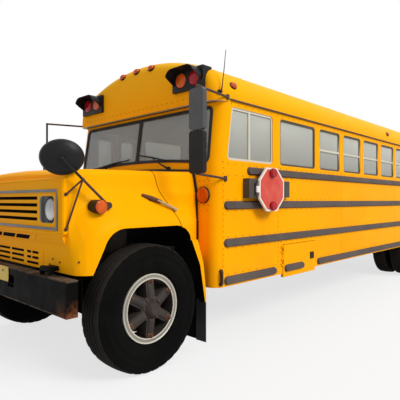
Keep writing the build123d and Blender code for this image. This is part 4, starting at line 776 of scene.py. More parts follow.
# %% [markdown]
# ## Headlamp pockets
# A sealed round lamp sits deep in a pressed pocket. The pocket's wall is lofted from the
# rounded square of the grille to the circle of the lamp, with the same number of points in
# each ring, and a solidify modifier gives the sheet its thickness.

# %% Headlamp pockets
LAMP = (0.725, 1.342)


def rounded_square(half_w, half_h, r, steps):
    ring = []
    for i in range(steps):
        t = 2 * pi * i / steps
        c, s = cos(t), sin(t)
        k = 1 / max(abs(c) / half_w, abs(s) / half_h)
        x, z = c * k, s * k
        fx, fz = abs(x) - (half_w - r), abs(z) - (half_h - r)
        if fx > 0 and fz > 0:
            d = sqrt(fx * fx + fz * fz)
            x = (half_w - r + fx * min(1, r / d)) * (1 if x > 0 else -1)
            z = (half_h - r + fz * min(1, r / d)) * (1 if z > 0 else -1)
        ring.append((x, z))
    return ring


# Pocket sections: half width, half height, corner radius, depth behind the hood's front
POCKET = [
    (0.1165, 0.1035, 0.040, 0.001), (0.1160, 0.1030, 0.040, 0.014), (0.1140, 0.1010, 0.040, 0.036),
    (0.1105, 0.0985, 0.042, 0.0385), (0.0970, 0.0970, 0.097, 0.0385),
    (0.0905, 0.0905, 0.0905, 0.0430),
]


def bezel(x):
    rings = []
    for half_w, half_h, r, y in POCKET:
        outline = rounded_square(half_w, half_h, r, 48)
        rings.append([Vector((x + u, HOOD_FRONT + y, LAMP[1] + v)) for u, v in outline])
    return lofted(rings, capped=False)


def thicken(obj, thick, offset):
    sheet = obj.modifiers.new("sheet", "SOLIDIFY")
    sheet.thickness, sheet.offset = thick, offset


print("pocket sections", len(POCKET))

# %% [markdown]
# ## Headlamps
# A rolled ring with four screws covers the joint between pocket and lamp, and the lens is
# turned as a low dome. Both lenses are one piece, which stands for the CAD lamps.

# %% Headlamps
LAMP_SEAT = HOOD_FRONT + 0.038
LENS = [
    (0.0, 0.0), (0.0, 0.0886), (0.004, 0.0886), (0.011, 0.084), (0.017, 0.070), (0.0215, 0.050),
    (0.0245, 0.027), (0.0255, 0.0),
]
ROLLED = [
    (-0.002, 0.0885), (0.010, 0.0895), (0.015, 0.0925), (0.012, 0.0965), (0.004, 0.0985),
    (-0.002, 0.0975), (-0.002, 0.0885),
]
SCREW = [(0.0, 0.0), (0.0, 0.0055), (0.002, 0.005), (0.003, 0.003), (0.003, 0.0)]
SCREWS_AT = [(u, v) for u in (-0.098, 0.098) for v in (-0.083, 0.083)]
lamps = []
for side, s in SIDES:
    at = Vector((s * LAMP[0], LAMP_SEAT, LAMP[1]))
    dish = piece(f"headlamp_bezel_{side}", bezel(at.x), bezel_metal, "hood")
    thicken(dish, 0.0012, -1.0)
    screws = [turned(SCREW, at + Vector((u, 0.0005, v)), FORWARD, 10) for u, v in SCREWS_AT]
    ring = joined(turned(ROLLED, at, FORWARD, 40), *screws)
    piece(f"headlamp_ring_{side}", ring, ring_metal, "hood")
    lamps.append(turned(LENS, at, FORWARD, 48))
lenses_front = piece("headlamp_lenses", joined(*lamps), lamp_lens, "hood")
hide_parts("headlamps")
print("headlamps", len(lamps))

# %% [markdown]
# ## Grille frame and lamps on the hood
# The pressed grille is edged with a dull bright strip. The fender lamps are black cups
# with an amber face, and the fender mirrors are black bowls on rusty iron booms with
# silvered faces that look back to the driver.

# %% Grille frame, fender lamps and mirrors
MIRROR_AT = Vector((0.995, st(-0.713), 1.724))
MIRROR_BACK = Vector((0.86, -0.47, -0.2)).normalized()
SIDE_MIRROR_X = 1.243
trim = worn(
    "grille_trim", (0.13, 0.13, 0.12), (0.20, 0.20, 0.19), (0.07, 0.05, 0.035), 0.6, 0.45, 60, 0.3
)
smoke = worn(
    "smoked_shell", (0.045, 0.046, 0.048), (0.075, 0.077, 0.08), (0.12, 0.12, 0.12), 0.72, 0.22, 60,
    shine=0.4,
)
silver, tree, bsdf = new_finish("mirror_silver")
silvering = mix(tree, noise(tree, 3.0), (0.72, 0.75, 0.77), (0.80, 0.82, 0.84))
tree.links.new(silvering, bsdf.inputs["Base Color"])
bsdf.inputs["Metallic"].default_value = 1.0
bsdf.inputs["Roughness"].default_value = 0.06


def on_frame(c, n):
    edge = abs(c.x) > 0.877 or c.z > 1.474 or c.z < 1.210
    return c.y < HOOD_FRONT - 0.0001 or (edge and c.y < HOOD_FRONT + 0.003)


def from_mirror(c):
    return (Vector((abs(c.x), c.y, c.z)) - MIRROR_AT).length


def mirror_face(c, n):
    left_hand = Vector((n.x if c.x > 0 else -n.x, n.y, n.z))
    return left_hand.dot(MIRROR_BACK) < -0.97 and from_mirror(c) < 0.12


framed = wear_some("grille", trim, on_frame)
wear_all(plastic, "hood_lamps")
wear_some("hood_lamps", amber, lambda c, n: abs(c.x) > 1.1475)
wear_some("hood_mirrors", boom_iron, lambda c, n: from_mirror(c) > 0.19)
wear_some("hood_mirrors", silver, mirror_face)
for mat, test in (
    (smoke, lambda c, n: c.z > 2.010 and c.x > SIDE_MIRROR_X and c.y > st(0.329)),
    (boom_iron, lambda c, n: abs(c.x) < SIDE_MIRROR_X or c.z > 2.367 or c.z < 1.641),
    (silver, lambda c, n: n.y > 0.98 and abs(c.x) > SIDE_MIRROR_X and 1.65 < c.z < 2.36),
):
    wear_some("side_mirrors", mat, test)
print("grille frame faces", framed)

# %% [markdown]
# ## Round lamps
# The CAD lamps mark the places. Here each warning, turn and tail lamp is turned again with
# a domed lens, a step where the lens meets its seat and a dark rim. The shapes are only
# collected here; the marker lamps of the next step join them.

# %% Round lamps
DOME = [
    (0.0, 1.0), (0.010, 0.995), (0.0155, 0.97), (0.0195, 0.88), (0.0218, 0.70), (0.0232, 0.42),
    (0.0238, 0.0),
]
RIM = [(0.0, 0.93), (0.0, 1.0), (0.012, 1.0), (0.015, 0.975), (0.013, 0.94), (0.0, 0.93)]
LENS_SHARE = 0.94
# Round lamps: colour, x, y, z, radius, way it faces
ROUND = [
    ("amber", 0.760, HEADER - 0.020, 2.610, 0.078, -1),
    ("amber", 0.760, REAR_WALL + 0.020, 2.610, 0.078, 1),
    ("amber", 1.050, FRONT_WALL, 1.464, 0.082, -1), ("amber", 1.000, REAR_WALL, 1.540, 0.082, 1),
    ("red", 0.945, HEADER - 0.020, 2.610, 0.078, -1),
    ("red", 0.945, REAR_WALL + 0.020, 2.610, 0.078, 1), ("red", 0.780, REAR_WALL, 1.540, 0.082, 1),
]
lenses, rims = {"amber": [], "red": []}, []
for colour, x, y, z, r, out in ROUND:
    dome = [(0.0, 0.0)] + [(a, b * r * LENS_SHARE) for a, b in DOME]
    for s in (1, -1):
        lenses[colour].append(turned(dome, (s * x, y, z), (0, out, 0), 40))
        rims.append(turned([(a, b * r) for a, b in RIM], (s * x, y, z), (0, out, 0), 40))
print("round lamps", len(rims))

# %% [markdown]
# ## Marker lamps
# Small ribbed domes sit along the roof's edge. A ray cast from outside finds the skin at
# each place, so that the foot of the lamp lies on it. All lenses of one colour are then one
# piece, which stands for the CAD lamps of that colour.

# %% Marker lamps
SHELL = ("roof", "front_wall", "rear_wall", "side_left", "side_right")
# Marker lamps: colour, x, y, z, where on the body
MARKS = [
    ("amber", 0.0, HEADER, 2.866, "front"), ("amber", 0.254, HEADER, 2.853, "front"),
    ("amber", 1.19, st(1.0), 2.538, "side"), ("amber", 1.19, st(5.118), 2.526, "side"),
    ("red", 0.0, REAR_WALL, 2.866, "rear"), ("red", 0.254, REAR_WALL, 2.853, "rear"),
    ("red", 1.19, REAR_WALL - 0.22, 2.538, "side"),
]
MARK_OUT = {"front": (0, -0.86, 0.5), "rear": (0, 0.86, 0.5), "side": (0.92, 0, 0.39)}
MARK_R, MARK_SQUASH = 0.046, 0.72
BEEHIVE = [
    (-0.008, 0.0), (-0.008, 1.0), (0.006, 1.0), (0.012, 0.96), (0.013, 0.90), (0.021, 0.84),
    (0.022, 0.78), (0.028, 0.66), (0.029, 0.60), (0.033, 0.36), (0.034, 0.0),
]
MARK_RIM = [(-0.010, 0.046), (-0.010, 0.052), (0.007, 0.052), (0.010, 0.047), (-0.010, 0.046)]


def on_skin(names, origin, direction):
    origin, direction, best = Vector(origin), Vector(direction).normalized(), None
    for n in names:
        hit, point, normal, _ = nodes[n].ray_cast(origin, direction)
        if hit and (best is None or (point - origin).length < (best[0] - origin).length):
            best = (point, normal)
    return best


for colour, x, y, z, kind in MARKS:
    for s in (1, -1) if x else (1,):
        out, at = Vector(MARK_OUT[kind]), Vector((s * x, y, z))
        out.x *= s
        way = out if kind == "side" else Vector((0, out.y, 0))
        hit = on_skin(SHELL, at + way * 0.4, -way)
        at = hit[0] if hit else at
        hive = [(a, b * MARK_R) for a, b in BEEHIVE]
        lenses[colour].append(turned(hive, at, out, 24, 0.0, MARK_SQUASH))
        rims.append(turned(MARK_RIM, at, out, 24, 0.0, MARK_SQUASH))
for colour, mat in (("amber", amber), ("red", red)):
    shown = piece(f"{colour}_lenses", joined(*lenses[colour]), mat, "bus")
    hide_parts(f"{colour}_lamps")
piece("lamp_rims", joined(*rims), plastic, "bus")
print("lenses", {c: len(s) for c, s in lenses.items()})

# %% [markdown]
# ## Fender lamps
# The CAD cup on each fender gets the same domed face in amber, held by a thin turned lip.
# Both ride with the hood, which carries the fenders when it tilts.

# %% Fender lamps
FENDER_LAMP = (st(-0.48), 1.366)
FENDER_CUP = [
    (0, 0.0505), (0, 0.0525), (0.020, 0.0525), (0.0215, 0.0505), (0.012, 0.0495), (0, 0.0505),
]
fender_dome = [(a, b * 0.050) for a, b in DOME]
faces_out, cups = [], []
for side, s in SIDES:
    faces_out.append(turned(fender_dome, (s * 1.130, *FENDER_LAMP), (s, 0, 0), 32))
    cups.append(turned(FENDER_CUP, (s * 1.1275, *FENDER_LAMP), (s, 0, 0), 32))
piece("fender_lenses", joined(*faces_out), amber, "hood")
piece("fender_lamp_rims", joined(*cups), plastic, "hood")
print("fender lamps", len(cups))

# %% [markdown]
# ## Tyre rubber and section
# A bus tyre is moulded rubber with a ribbed side and a block tread. The side stays black,
# and the tread is grey with dust. The section follows the CAD tyre from the bead to the
# middle of the tread, with fine steps for the side ribs and two grooves.

# %% Tyre rubber and section
tyre_finish = worn(
    "tyre_rubber", (0.0030, 0.0030, 0.0030), (0.0058, 0.0055, 0.0052), (0.020, 0.017, 0.014), 0.68,
    0.75, 35, shine=0.03,
)
tread_dust = worn(
    "tread_dust", (0.016, 0.014, 0.0125), (0.030, 0.026, 0.022), (0.05, 0.042, 0.034), 0.6, 0.8, 50,
    shine=0.05,
)
TYRE_SIDE = [
    (0.095, 0.2545), (0.0952, 0.286), (0.104, 0.298), (0.1105, 0.306), (0.1135, 0.307),
    (0.1215, 0.327), (0.1275, 0.343), (0.1285, 0.346), (0.1325, 0.366), (0.1362, 0.378),
    (0.1366, 0.392), (0.1345, 0.398), (0.1345, 0.420), (0.1325, 0.444), (0.1338, 0.446),
    (0.1325, 0.453), (0.1305, 0.455), (0.127, 0.470), (0.1195, 0.4915), (0.117, 0.502),
    (0.1125, 0.511), (0.097, 0.5215),
]
TREAD = [
    (0.066, 0.5243), (0.064, 0.511), (0.052, 0.511), (0.050, 0.5253), (0.026, 0.5263),
    (0.024, 0.512), (0.012, 0.512), (0.010, 0.5268),
]
print("points in half a section", len(TYRE_SIDE) + len(TREAD))

# %% [markdown]
# ## Tyres
# The section is turned about the axle and closed on itself. Round the tread, every fourth
# step is sunk at the shoulder to cut it into blocks. The result stays inside the CAD tyre,
# which it stands for, and turns with its wheel.

# %% Tyres
TYRE_STEPS = 144
SHOULDER = (0.09, 0.498)
BLOCK_EVERY, BLOCK_CUT = 4, 0.004
TREAD_R = 0.5085


def tyre_shape(x, y):
    half = TYRE_SIDE + TREAD
    profile = half + [(-a, r) for a, r in reversed(half)]
    n, count = TYRE_STEPS, len(profile) * TYRE_STEPS
    verts, faces = turned(profile + profile[:1], (x, y, WHEEL_Z), AX_X, n)
    verts, faces = verts[:count], [tuple(i % count for i in f) for f in faces]
    for k, (a, r) in enumerate(profile):
        if abs(a) > SHOULDER[0] and r > SHOULDER[1]:
            for i in range(k * n, (k + 1) * n, BLOCK_EVERY):
                radial = Vector((0, verts[i].y - y, verts[i].z - WHEEL_Z)).normalized()
                verts[i] = verts[i] - radial * BLOCK_CUT
    return verts, faces


def wheel_radius(c, y):
    return sqrt((c.y - y) ** 2 + (c.z - WHEEL_Z) ** 2)


# Tyres: CAD node, body, axle, places across
TYRES = [
    ("front_tyre_left", "wheel_front_left", AXLE_F, (1.035,)),
    ("front_tyre_right", "wheel_front_right", AXLE_F, (-1.035,)),
    ("rear_tyres_left", "wheel_rear_left", AXLE_R, (0.74, 1.055)),
    ("rear_tyres_right", "wheel_rear_right", AXLE_R, (-0.74, -1.055)),
]
for node, body, y, places in TYRES:
    shape = joined(*[tyre_shape(x, y) for x in places])
    tyre = piece(f"{node}_treaded", shape, tyre_finish, body)
    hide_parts(node)
    wear_faces(tyre.data, tread_dust, lambda c, n: wheel_radius(c, y) > TREAD_R)
print("tyres", len(TYRES), "rings round", TYRE_STEPS)

# %% [markdown]
# ## Wheels
# The wheel is one casting of six spokes with a cream rim clamped round it. The faces of
# the CAD wheel take one of two finishes by their radius. Rusty clamps with studs and hex
# nuts are added at the spoke ends, and a ring of nuts at the hub.

# %% Wheels
# Wheels: CAD node, body, x, axle, way out
WHEELS = [
    ("front_wheel_left", "wheel_front_left", 1.035, AXLE_F, 1),
    ("front_wheel_right", "wheel_front_right", -1.035, AXLE_F, -1),
    ("rear_wheel_left", "wheel_rear_left", 0.8975, AXLE_R, 1),
    ("rear_wheel_right", "wheel_rear_right", -0.8975, AXLE_R, -1),
]
SPOKES, HUB_NUTS = 6, 8
CASTING_R = 0.2565
CLAMP_FACE = 0.0835
HUB = {"front": (0.111, 0.088), "rear": (0.149, 0.092)}


def button(sunk, wide, rise, top, crown):
    return [(-sunk, 0.0), (-sunk, wide), (rise, wide), (top, crown), (top, 0.0)]


HEX = button(0.0, 0.017, 0.011, 0.0135, 0.0145)
HUB_NUT = [(a * 0.8, r * 0.62) for a, r in HEX]
STUD = button(-0.012, 0.009, 0.020, 0.022, 0.007)
WEDGE = [
    (-0.030, 0.0), (0.030, 0.0), (0.028, 0.012), (0.016, 0.018), (-0.016, 0.018), (-0.028, 0.012),
]
# Clamp sections: radius, width, height
CLAMP = ((0.205, 0.72, 0.75), (0.213, 0.95, 0.98), (0.240, 1.05, 1.0), (0.247, 1.0, 0.8))


def spoke_axes(i, out):
    angle = i * pi / 3
    radial, axial = Vector((0, sin(angle), cos(angle))), Vector((out, 0, 0))
    return radial, axial, axial.cross(radial)


def clamp_shapes(hub, i, out):
    radial, axial, tangent = spoke_axes(i, out)
    base = hub + axial * CLAMP_FACE
    seat = base + radial * 0.227 + axial * 0.016
    wedge = drawn([(base + radial * r, tangent * w, axial * h) for r, w, h in CLAMP], WEDGE)
    return [wedge, turned(HEX, seat, axial, 6), turned(STUD, seat, axial, 10)]


for node, body, x, y, out in WHEELS:
    wear_all(cast, node)
    wear_some(node, rim_paint, lambda c, n: wheel_radius(c, y) > CASTING_R)
    clamps = []
    for i in range(SPOKES):
        clamps += clamp_shapes(Vector((x, y, WHEEL_Z)), i, out)
    hub_face, hub_r = HUB[node.split("_")[0]]
    for i in range(HUB_NUTS):
        t = i * pi / 4 + 0.2
        at = Vector((x + out * hub_face, y + sin(t) * hub_r, WHEEL_Z + cos(t) * hub_r))
        clamps.append(turned(HUB_NUT, at, (out, 0, 0), 6))
    piece(f"{node}_clamps", joined(*clamps), rust, body, smooth=False)
print("wheels dressed", len(WHEELS))

# %% [markdown]
# ## Round spokes and rim edges
# The cast spokes are round-backed, and the rim has a rolled outer edge, a valley and a
# bright inner edge. A rounded back is drawn along every spoke, and a ring with two beads is
# turned over the flat face of the rim; its valley takes a greyer colour by radius, painted
# shade in the groove. Behind each front wheel a pressed plate closes the brake and turns
# with the steering.

# %% Round spokes and rim edges
# A greyer colour for the rim's valley: painted shade in the groove.
rim_valley_shade = worn(
    "rim_valley_shade", (0.20, 0.185, 0.16), (0.28, 0.26, 0.22), (0.14, 0.08, 0.05), 0.62, 0.5, 40, 0.2
)
RIM_EDGE = [
    (0.1030, 0.2840), (0.1075, 0.2846), (0.1110, 0.2825), (0.1118, 0.2790), (0.1100, 0.2755),
    (0.1072, 0.2725), (0.1064, 0.2660), (0.1066, 0.2540), (0.1080, 0.2500), (0.1098, 0.2465),
    (0.1098, 0.2435), (0.1080, 0.2405), (0.1030, 0.2398), (0.1030, 0.2840),
]
VALLEY = (0.2505, 0.2735)
RIM_SPREAD = {"front": 0.0, "rear": 0.1575}
BACK = [(cos(pi * i / 8), sin(pi * i / 8)) for i in range(9)]
# Spoke backs: radius and height of the spoke's face, then width and height of the back
SPOKE_BACK = {
    "front": ((0.078, 0.104), (0.120, 0.098), (0.165, 0.0913), (0.206, 0.0852)),
    "rear": ((0.095, 0.1275), (0.130, 0.120), (0.170, 0.1029), (0.206, 0.0874)),
}
BACK_SIZE = ((0.034, 0.020), (0.031, 0.021), (0.029, 0.019), (0.031, 0.010))
BACK_SINK = 0.001
BRAKE_DISH = [
    (-0.1130, 0.060), (-0.1130, 0.214), (-0.1150, 0.224), (-0.1230, 0.230), (-0.1260, 0.229),
    (-0.1180, 0.214), (-0.1160, 0.060), (-0.1130, 0.060),
]
for node, body, x, y, out in WHEELS:
    kind, hub = node.split("_")[0], Vector((x, y, WHEEL_Z))
    ring = turned([(a + RIM_SPREAD[kind], r) for a, r in RIM_EDGE], hub, (out, 0, 0), 96)
    edge = piece(f"{node}_rim_edge", ring, rim_paint, body)
    wear_faces(edge.data, rim_valley_shade, lambda c, n: VALLEY[0] < wheel_radius(c, y) < VALLEY[1])
    backs = []
    for i in range(SPOKES):
        radial, axial, tangent = spoke_axes(i, out)
        stations = [
            (hub + radial * r + axial * (a - BACK_SINK), tangent * w, axial * h)
            for (r, a), (w, h) in zip(SPOKE_BACK[kind], BACK_SIZE)
        ]
        backs.append(drawn(stations, BACK))
    piece(f"{node}_spoke_backs", joined(*backs), cast, body)
for side, s in SIDES:
    dish = turned(BRAKE_DISH, (s * 1.035, AXLE_F, WHEEL_Z), (s, 0, 0), 48)
    piece(f"brake_backing_{side}", dish, black_and_shade, f"steered_{side}")
print("round spokes", SPOKES * len(WHEELS))

# %% [markdown]
# ## Stop sign
# An eight-sided red plate with a white border, left blank. The border is the band where the
# distance from the middle, counted square to the nearest edge, is close to the half width.

# %% Stop sign
SIGN_Y, SIGN_Z, SIGN_X = st(1.487), 1.526, 1.311
SIGN_LAMP_OFF, SIGN_LAMP_R = 0.172, 0.0455
SIGN_DOME = [
    (-0.010, 0.0), (-0.010, 0.050), (0.0, 0.050), (0.003, 0.047), (0.008, 0.044), (0.012, 0.036),
    (0.0145, 0.022), (0.015, 0.0),
]
sign, tree, bsdf = new_finish("sign_enamel")
axes = axes_of(tree)
off_y, off_z = distance(tree, axes[1], SIGN_Y), distance(tree, axes[2], SIGN_Z)
slant = times(tree, calc(tree, "ADD", off_y, off_z), 0.70711)
apothem = calc(tree, "MAXIMUM", calc(tree, "MAXIMUM", off_y, off_z), slant)
border = ramp(tree, apothem, 0.2075, 0.2085)
patches = ramp(tree, noise(tree, 9.0, 6.0), 0.4, 0.7)
chalk = mix(tree, patches, (0.60, 0.060, 0.042), (0.66, 0.115, 0.080))
bordered = mix(tree, border, chalk, (0.80, 0.76, 0.70))
coat(tree, bsdf, bordered, ramp(tree, noise(tree, 12.0), 0.3, 0.7, 0.35, 0.5), 0.2)


def on_sign_lamp(c, n):
    away = sqrt((abs(c.z - SIGN_Z) - SIGN_LAMP_OFF) ** 2 + (c.y - SIGN_Y) ** 2)
    return away < SIGN_LAMP_R and abs(c.x - SIGN_X) > 0.0115


wear_all(sign, "stop_sign")
wear_some("stop_sign", red, on_sign_lamp)
domes = []
for z in (SIGN_Z - SIGN_LAMP_OFF, SIGN_Z + SIGN_LAMP_OFF):
    for out, face in ((1, 1.345), (-1, 1.277)):
        domes.append(turned(SIGN_DOME, (face - out * 0.005, SIGN_Y, z), (out, 0, 0), 32))
piece("sign_lamps", joined(*domes), red, "stop_arm")
print("sign dressed")

# %% [markdown]
# ## Bench slabs
# A bus bench is a foam slab under tight vinyl, with a sewn line across the back. The slab
# starts as a closed grid, a little smaller than the bench, with its edges and corners pulled
# in. A grid keeps a row of points along the sewn line, which a remesh would lose.

# %% Bench slabs
vinyl = worn(
    "bench_vinyl", (0.050, 0.058, 0.045), (0.066, 0.074, 0.055), (0.10, 0.10, 0.08), 0.74, 0.42,
    160, shine=0.4,
)


def slab_grid(size, counts):
    sx, sy, sz = size
    nx, ny, nz = counts
    verts, index, faces = [], {}, []

    def corner(i, j, k):
        if (i, j, k) not in index:
            u, v, w = i / nx * 2 - 1, j / ny * 2 - 1, k / nz * 2 - 1
            pull_x = 1 - 0.05 * v * v * w * w
            pull_y = 1 - 0.10 * u**4 * w * w
            pull_z = 1 - 0.10 * max(u**6, v**6)
            index[i, j, k] = len(verts)
            verts.append(Vector((u * sx / 2 * pull_x, v * sy / 2 * pull_y, w * sz / 2 * pull_z)))
        return index[i, j, k]

    def square(at, a, b):
        i, j, k = at
        ends = ((0, 0), (1, 0), (1, 1), (0, 1))
        steps = [[p * a[n] + q * b[n] for n in range(3)] for p, q in ends]
        faces.append(tuple(corner(i + d[0], j + d[1], k + d[2]) for d in steps))

    for k in (0, nz):
        for i in range(nx):
            for j in range(ny):
                square((i, j, k), AX_X, AX_Y)
    for k in range(nz):
        for i in range(nx):
            for j in (0, ny):
                square((i, j, k), AX_X, AX_Z)
        for j in range(ny):
            for i in (0, nx):
                square((i, j, k), AX_Y, AX_Z)
    return verts, faces


print("bench vinyl", vinyl.name)

# %% [markdown]
# ## Bench pads
# The cloth solver blows each slab up gently, with gravity off, and a cap keeps it inside the
# bench. The sewn lines are then drawn in. The result is kept as a plain mesh that every row
# can share.

# %% Bench pads
PAD_SWELL = 0.012
BLOW_FRAMES = 20
SEWN_HALF = 0.02


def blow(slab, mesh, start):
    solver = slab.modifiers.new("foam", "CLOTH")
    solver.settings.use_pressure = True
    solver.settings.uniform_pressure_force = 4.0
    solver.settings.effector_weights.gravity = 0.0
    solver.settings.quality = 5
    solver.point_cache.frame_start = 1
    solver.point_cache.frame_end = BLOW_FRAMES
    for f in range(1, BLOW_FRAMES + 1):
        scene.frame_set(f)
    swollen = slab.evaluated_get(bpy.context.evaluated_depsgraph_get())
    moved = [v.co.copy() for v in swollen.to_mesh().vertices]
    swollen.to_mesh_clear()
    slab.modifiers.remove(solver)
    scene.frame_set(1)
    for v, a, b in zip(mesh.vertices, start, moved):
        shift = b - a
        v.co = a + shift * min(1.0, PAD_SWELL / max(shift.length, 1e-6))


def blown(name, size, counts, sewn):
    mesh = new_mesh(name, slab_grid([s - 2 * PAD_SWELL for s in size], counts))
    start = [v.co.copy() for v in mesh.vertices]
    slab = new_object(name + "_slab", mesh)
    blow(slab, mesh, start)
    for v, a in zip(mesh.vertices, start):
        for axis, place, depth in sewn:
            if abs(a[axis] - place) < SEWN_HALF and abs(a.z) > size[2] * 0.3:
                v.co.z -= depth * (1 if a.z > 0 else -1)
    bpy.data.objects.remove(slab)
    mesh.materials.append(vinyl)
    mesh.shade_smooth()
    return mesh


BACK_SEAM = (1, 0.1633, 0.007)
SEAT_SEAMS = [(0, 0.150, 0.006), (0, -0.150, 0.006)]
pads = {
    "bench": (
        blown("bench_seat_pad", (0.965, 0.400, 0.118), (22, 10, 4), []),
        blown("bench_back_pad", (0.965, 0.490, 0.078), (22, 12, 3), [BACK_SEAM]),
    ),
    "driver": (
        blown("driver_seat_pad", (0.470, 0.400, 0.118), (12, 10, 4), SEAT_SEAMS),
        blown("driver_back_pad", (0.470, 0.490, 0.078), (12, 12, 3), [BACK_SEAM]),
    ),
}
print("pads blown", [len(m.vertices) for pair in pads.values() for m in pair])

# %% [markdown]
# ## Setting the benches
# Each row takes the same two pads, one flat and one leaned back; they stand for the plain
# CAD seats. Legs of bent tube stand on the floor by the aisle, and a rail under the seat
# ties each pair.

# %% Setting the benches
BENCH_X, FIRST_BENCH, BENCH_PITCH, BENCH_ROWS = 0.6675, st(1.98), 0.691, 11
rows_y = [FIRST_BENCH + i * BENCH_PITCH for i in range(BENCH_ROWS)]
BENCHES = [(s * BENCH_X, y, "bench") for s in (1, -1) for y in rows_y]
BENCHES.append((0.66, st(1.29), "driver"))
BENCH_HALF = {"bench": 0.4925, "driver": 0.24}
BACK_LEAN = Matrix.Rotation(radians(79.0), 4, "X")
LEG_FOOT = [(0, 0.0), (0, 0.035), (0.006, 0.033), (0.010, 0.016), (0.010, 0.0)]


def tube(points, radii, sides=10):
    points = [Vector(p) for p in points]
    radii = radii if isinstance(radii, (list, tuple)) else [radii] * len(points)
    ring = [(cos(2 * pi * i / sides), sin(2 * pi * i / sides)) for i in range(sides)]
    stations = []
    for k, p in enumerate(points):
        ahead = points[min(k + 1, len(points) - 1)] - points[max(k - 1, 0)]
        _, side, up = frame_of(ahead)
        stations.append((p, side * radii[k], up * radii[k]))
    return drawn(stations, ring)


def set_pad(name, mesh, at, turn):
    obj = new_object(name, mesh)
    obj.matrix_world = Matrix.Translation(at) @ turn
    soft = obj.modifiers.new("round", "SUBSURF")
    soft.levels = soft.render_levels = 1
    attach(obj, "bus")
    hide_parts("seats")


legs = []
for i, (x, y, kind) in enumerate(BENCHES):
    seat, back = pads[kind]
    set_pad(f"{kind}_seat_{i:02d}", seat, Vector((x, y + 0.205, 1.381)), Matrix.Identity(4))
    set_pad(f"{kind}_back_{i:02d}", back, Vector((x, y + 0.449, 1.612)), BACK_LEAN)
    inner = x - (BENCH_HALF[kind] - 0.05) * (1 if x > 0 else -1)
    for at in (y + 0.08, y + 0.34):
        bends = ((at, 1.0005), (at, 1.02), (at + 0.01, 1.20), (at + 0.01, 1.335))
        legs.append(tube([(inner, *bend) for bend in bends], 0.014, 8))
        legs.append(turned(LEG_FOOT, (inner, at, 1.0), AX_Z, 12))
    rail = ((y + 0.09, 1.30), (y + 0.21, 1.295), (y + 0.35, 1.30))
    legs.append(tube([(inner, *bend) for bend in rail], 0.012, 8))
leg_set = piece("bench_legs", joined(*legs), under_black, "bus")
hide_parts("seats")
print("benches", len(BENCHES))

# %% [markdown]
# ## Rivets on the sides
# The skins are riveted to the posts and rails. Each head is a low dome of a few rings, and
# one mesh holds a whole side, so thousands of heads cost little. Every head is laid on the
# skin by a ray cast against the CAD panel, so none floats.

# %% Rivets on the sides
rivet_paint = worn(
    "rivet_paint", (0.62, 0.235, 0.004), (0.50, 0.18, 0.006), (0.16, 0.07, 0.02), 0.60, 0.5, 90,
    shine=0.15,
)
RIVET = [(-0.001, 0.0085), (0.0022, 0.00731), (0.0040, 0.00357), (0.0042, 0.0)]
RIVET_TOP_Z = 2.922
SEAMS_Y = (0.831, 1.775, 3.359, 5.432, 7.505, 9.30)
RAIL_ROWS = (1.657, 1.767, 1.310, 1.420, 0.948, 1.058, 0.700)
SIDE_END, SIDE_PITCH = 4.95, 0.115
OUTSIDE = 1.6


def rivet_rows(names, origins, direction):
    heads = []
    for origin in origins:
        hit = on_skin(names, origin, direction)
        if hit and abs(hit[1].dot(Vector(direction))) > 0.8 and hit[0].z < RIVET_TOP_Z:
            heads.append(turned(RIVET, hit[0], hit[1], 7))
    return heads


def spaced(a, b, pitch):
    count = max(1, round((b - a) / pitch))
    return [a + (b - a) * i / count for i in range(count + 1)]


side_spots = [(y, z) for z in RAIL_ROWS for y in spaced(st(0.90), SIDE_END, SIDE_PITCH)]
side_spots += [(y, 2.352) for y in spaced(st(0.95), SIDE_END, SIDE_PITCH)]
side_spots += [(st(y), z) for y in SEAMS_Y for z in spaced(0.62, 1.78, 0.055)]
for name, s in SIDES:
    origins = [(s * OUTSIDE, y, z) for y, z in side_spots]
    rows = rivet_rows((f"side_{name}", "front_wall"), origins, (-s, 0, 0))
    piece(f"rivets_{name}", joined(*rows), rivet_paint, "bus")
    print("rivets", name, len(rows))

# %% [markdown]
# ## Rivets on the ends and the roof
# The front wall is riveted where it shows beside and above the hood, the rear wall round
# its door and posts, and the roof along each ring of the frame. Heads that would stand
# above the top of the roof are left out.

# %% Rivets on the ends and the roof
ROOF_RINGS = (1.30, 3.36, 5.43, 7.50, 9.10)
nose = [(x, z) for z in (1.600, 1.365) for x in spaced(-1.12, 1.12, 0.06)]
nose += [(x, 2.425) for x in spaced(-1.0, 1.0, 0.08)]
nose += [(s * 1.105, z) for s in (1, -1) for z in spaced(0.70, 1.62, 0.06)]
clear_of_hood = [(x, st(0.1), z) for x, z in nose if z > (1.3 if abs(x) > 0.99 else 2)]
tail = [(s * 0.43, z) for s in (1, -1) for z in spaced(0.75, 2.35, 0.07)]
tail += [
    (x, z) for z in (1.02, 1.70, 2.42) for x in spaced(-1.1, 1.1, 0.075)
    if abs(x) > 0.44 or z > 2.4
]
rings = [(x, st(y), 3.4) for y in ROOF_RINGS for x in spaced(-1.05, 1.05, 0.10)]
rows = rivet_rows(("front_wall", "roof"), clear_of_hood, AX_Y)
rows += rivet_rows(("rear_wall", "roof"), [(x, 5.9, z) for x, z in tail], FORWARD)
rows += rivet_rows(("roof",), rings, (0, 0, -1))
piece("rivets_ends", joined(*rows), rivet_paint, "bus")
print("rivets on the ends and roof", len(rows))

# %% [markdown]
# ## Seams and roof bows
# Where two skins meet, one laps over the other and throws a fine line. A thin folded strip
# is drawn down the side at each lap, following the skin, and a flat bow strip crosses the
# roof at each ring of the frame.

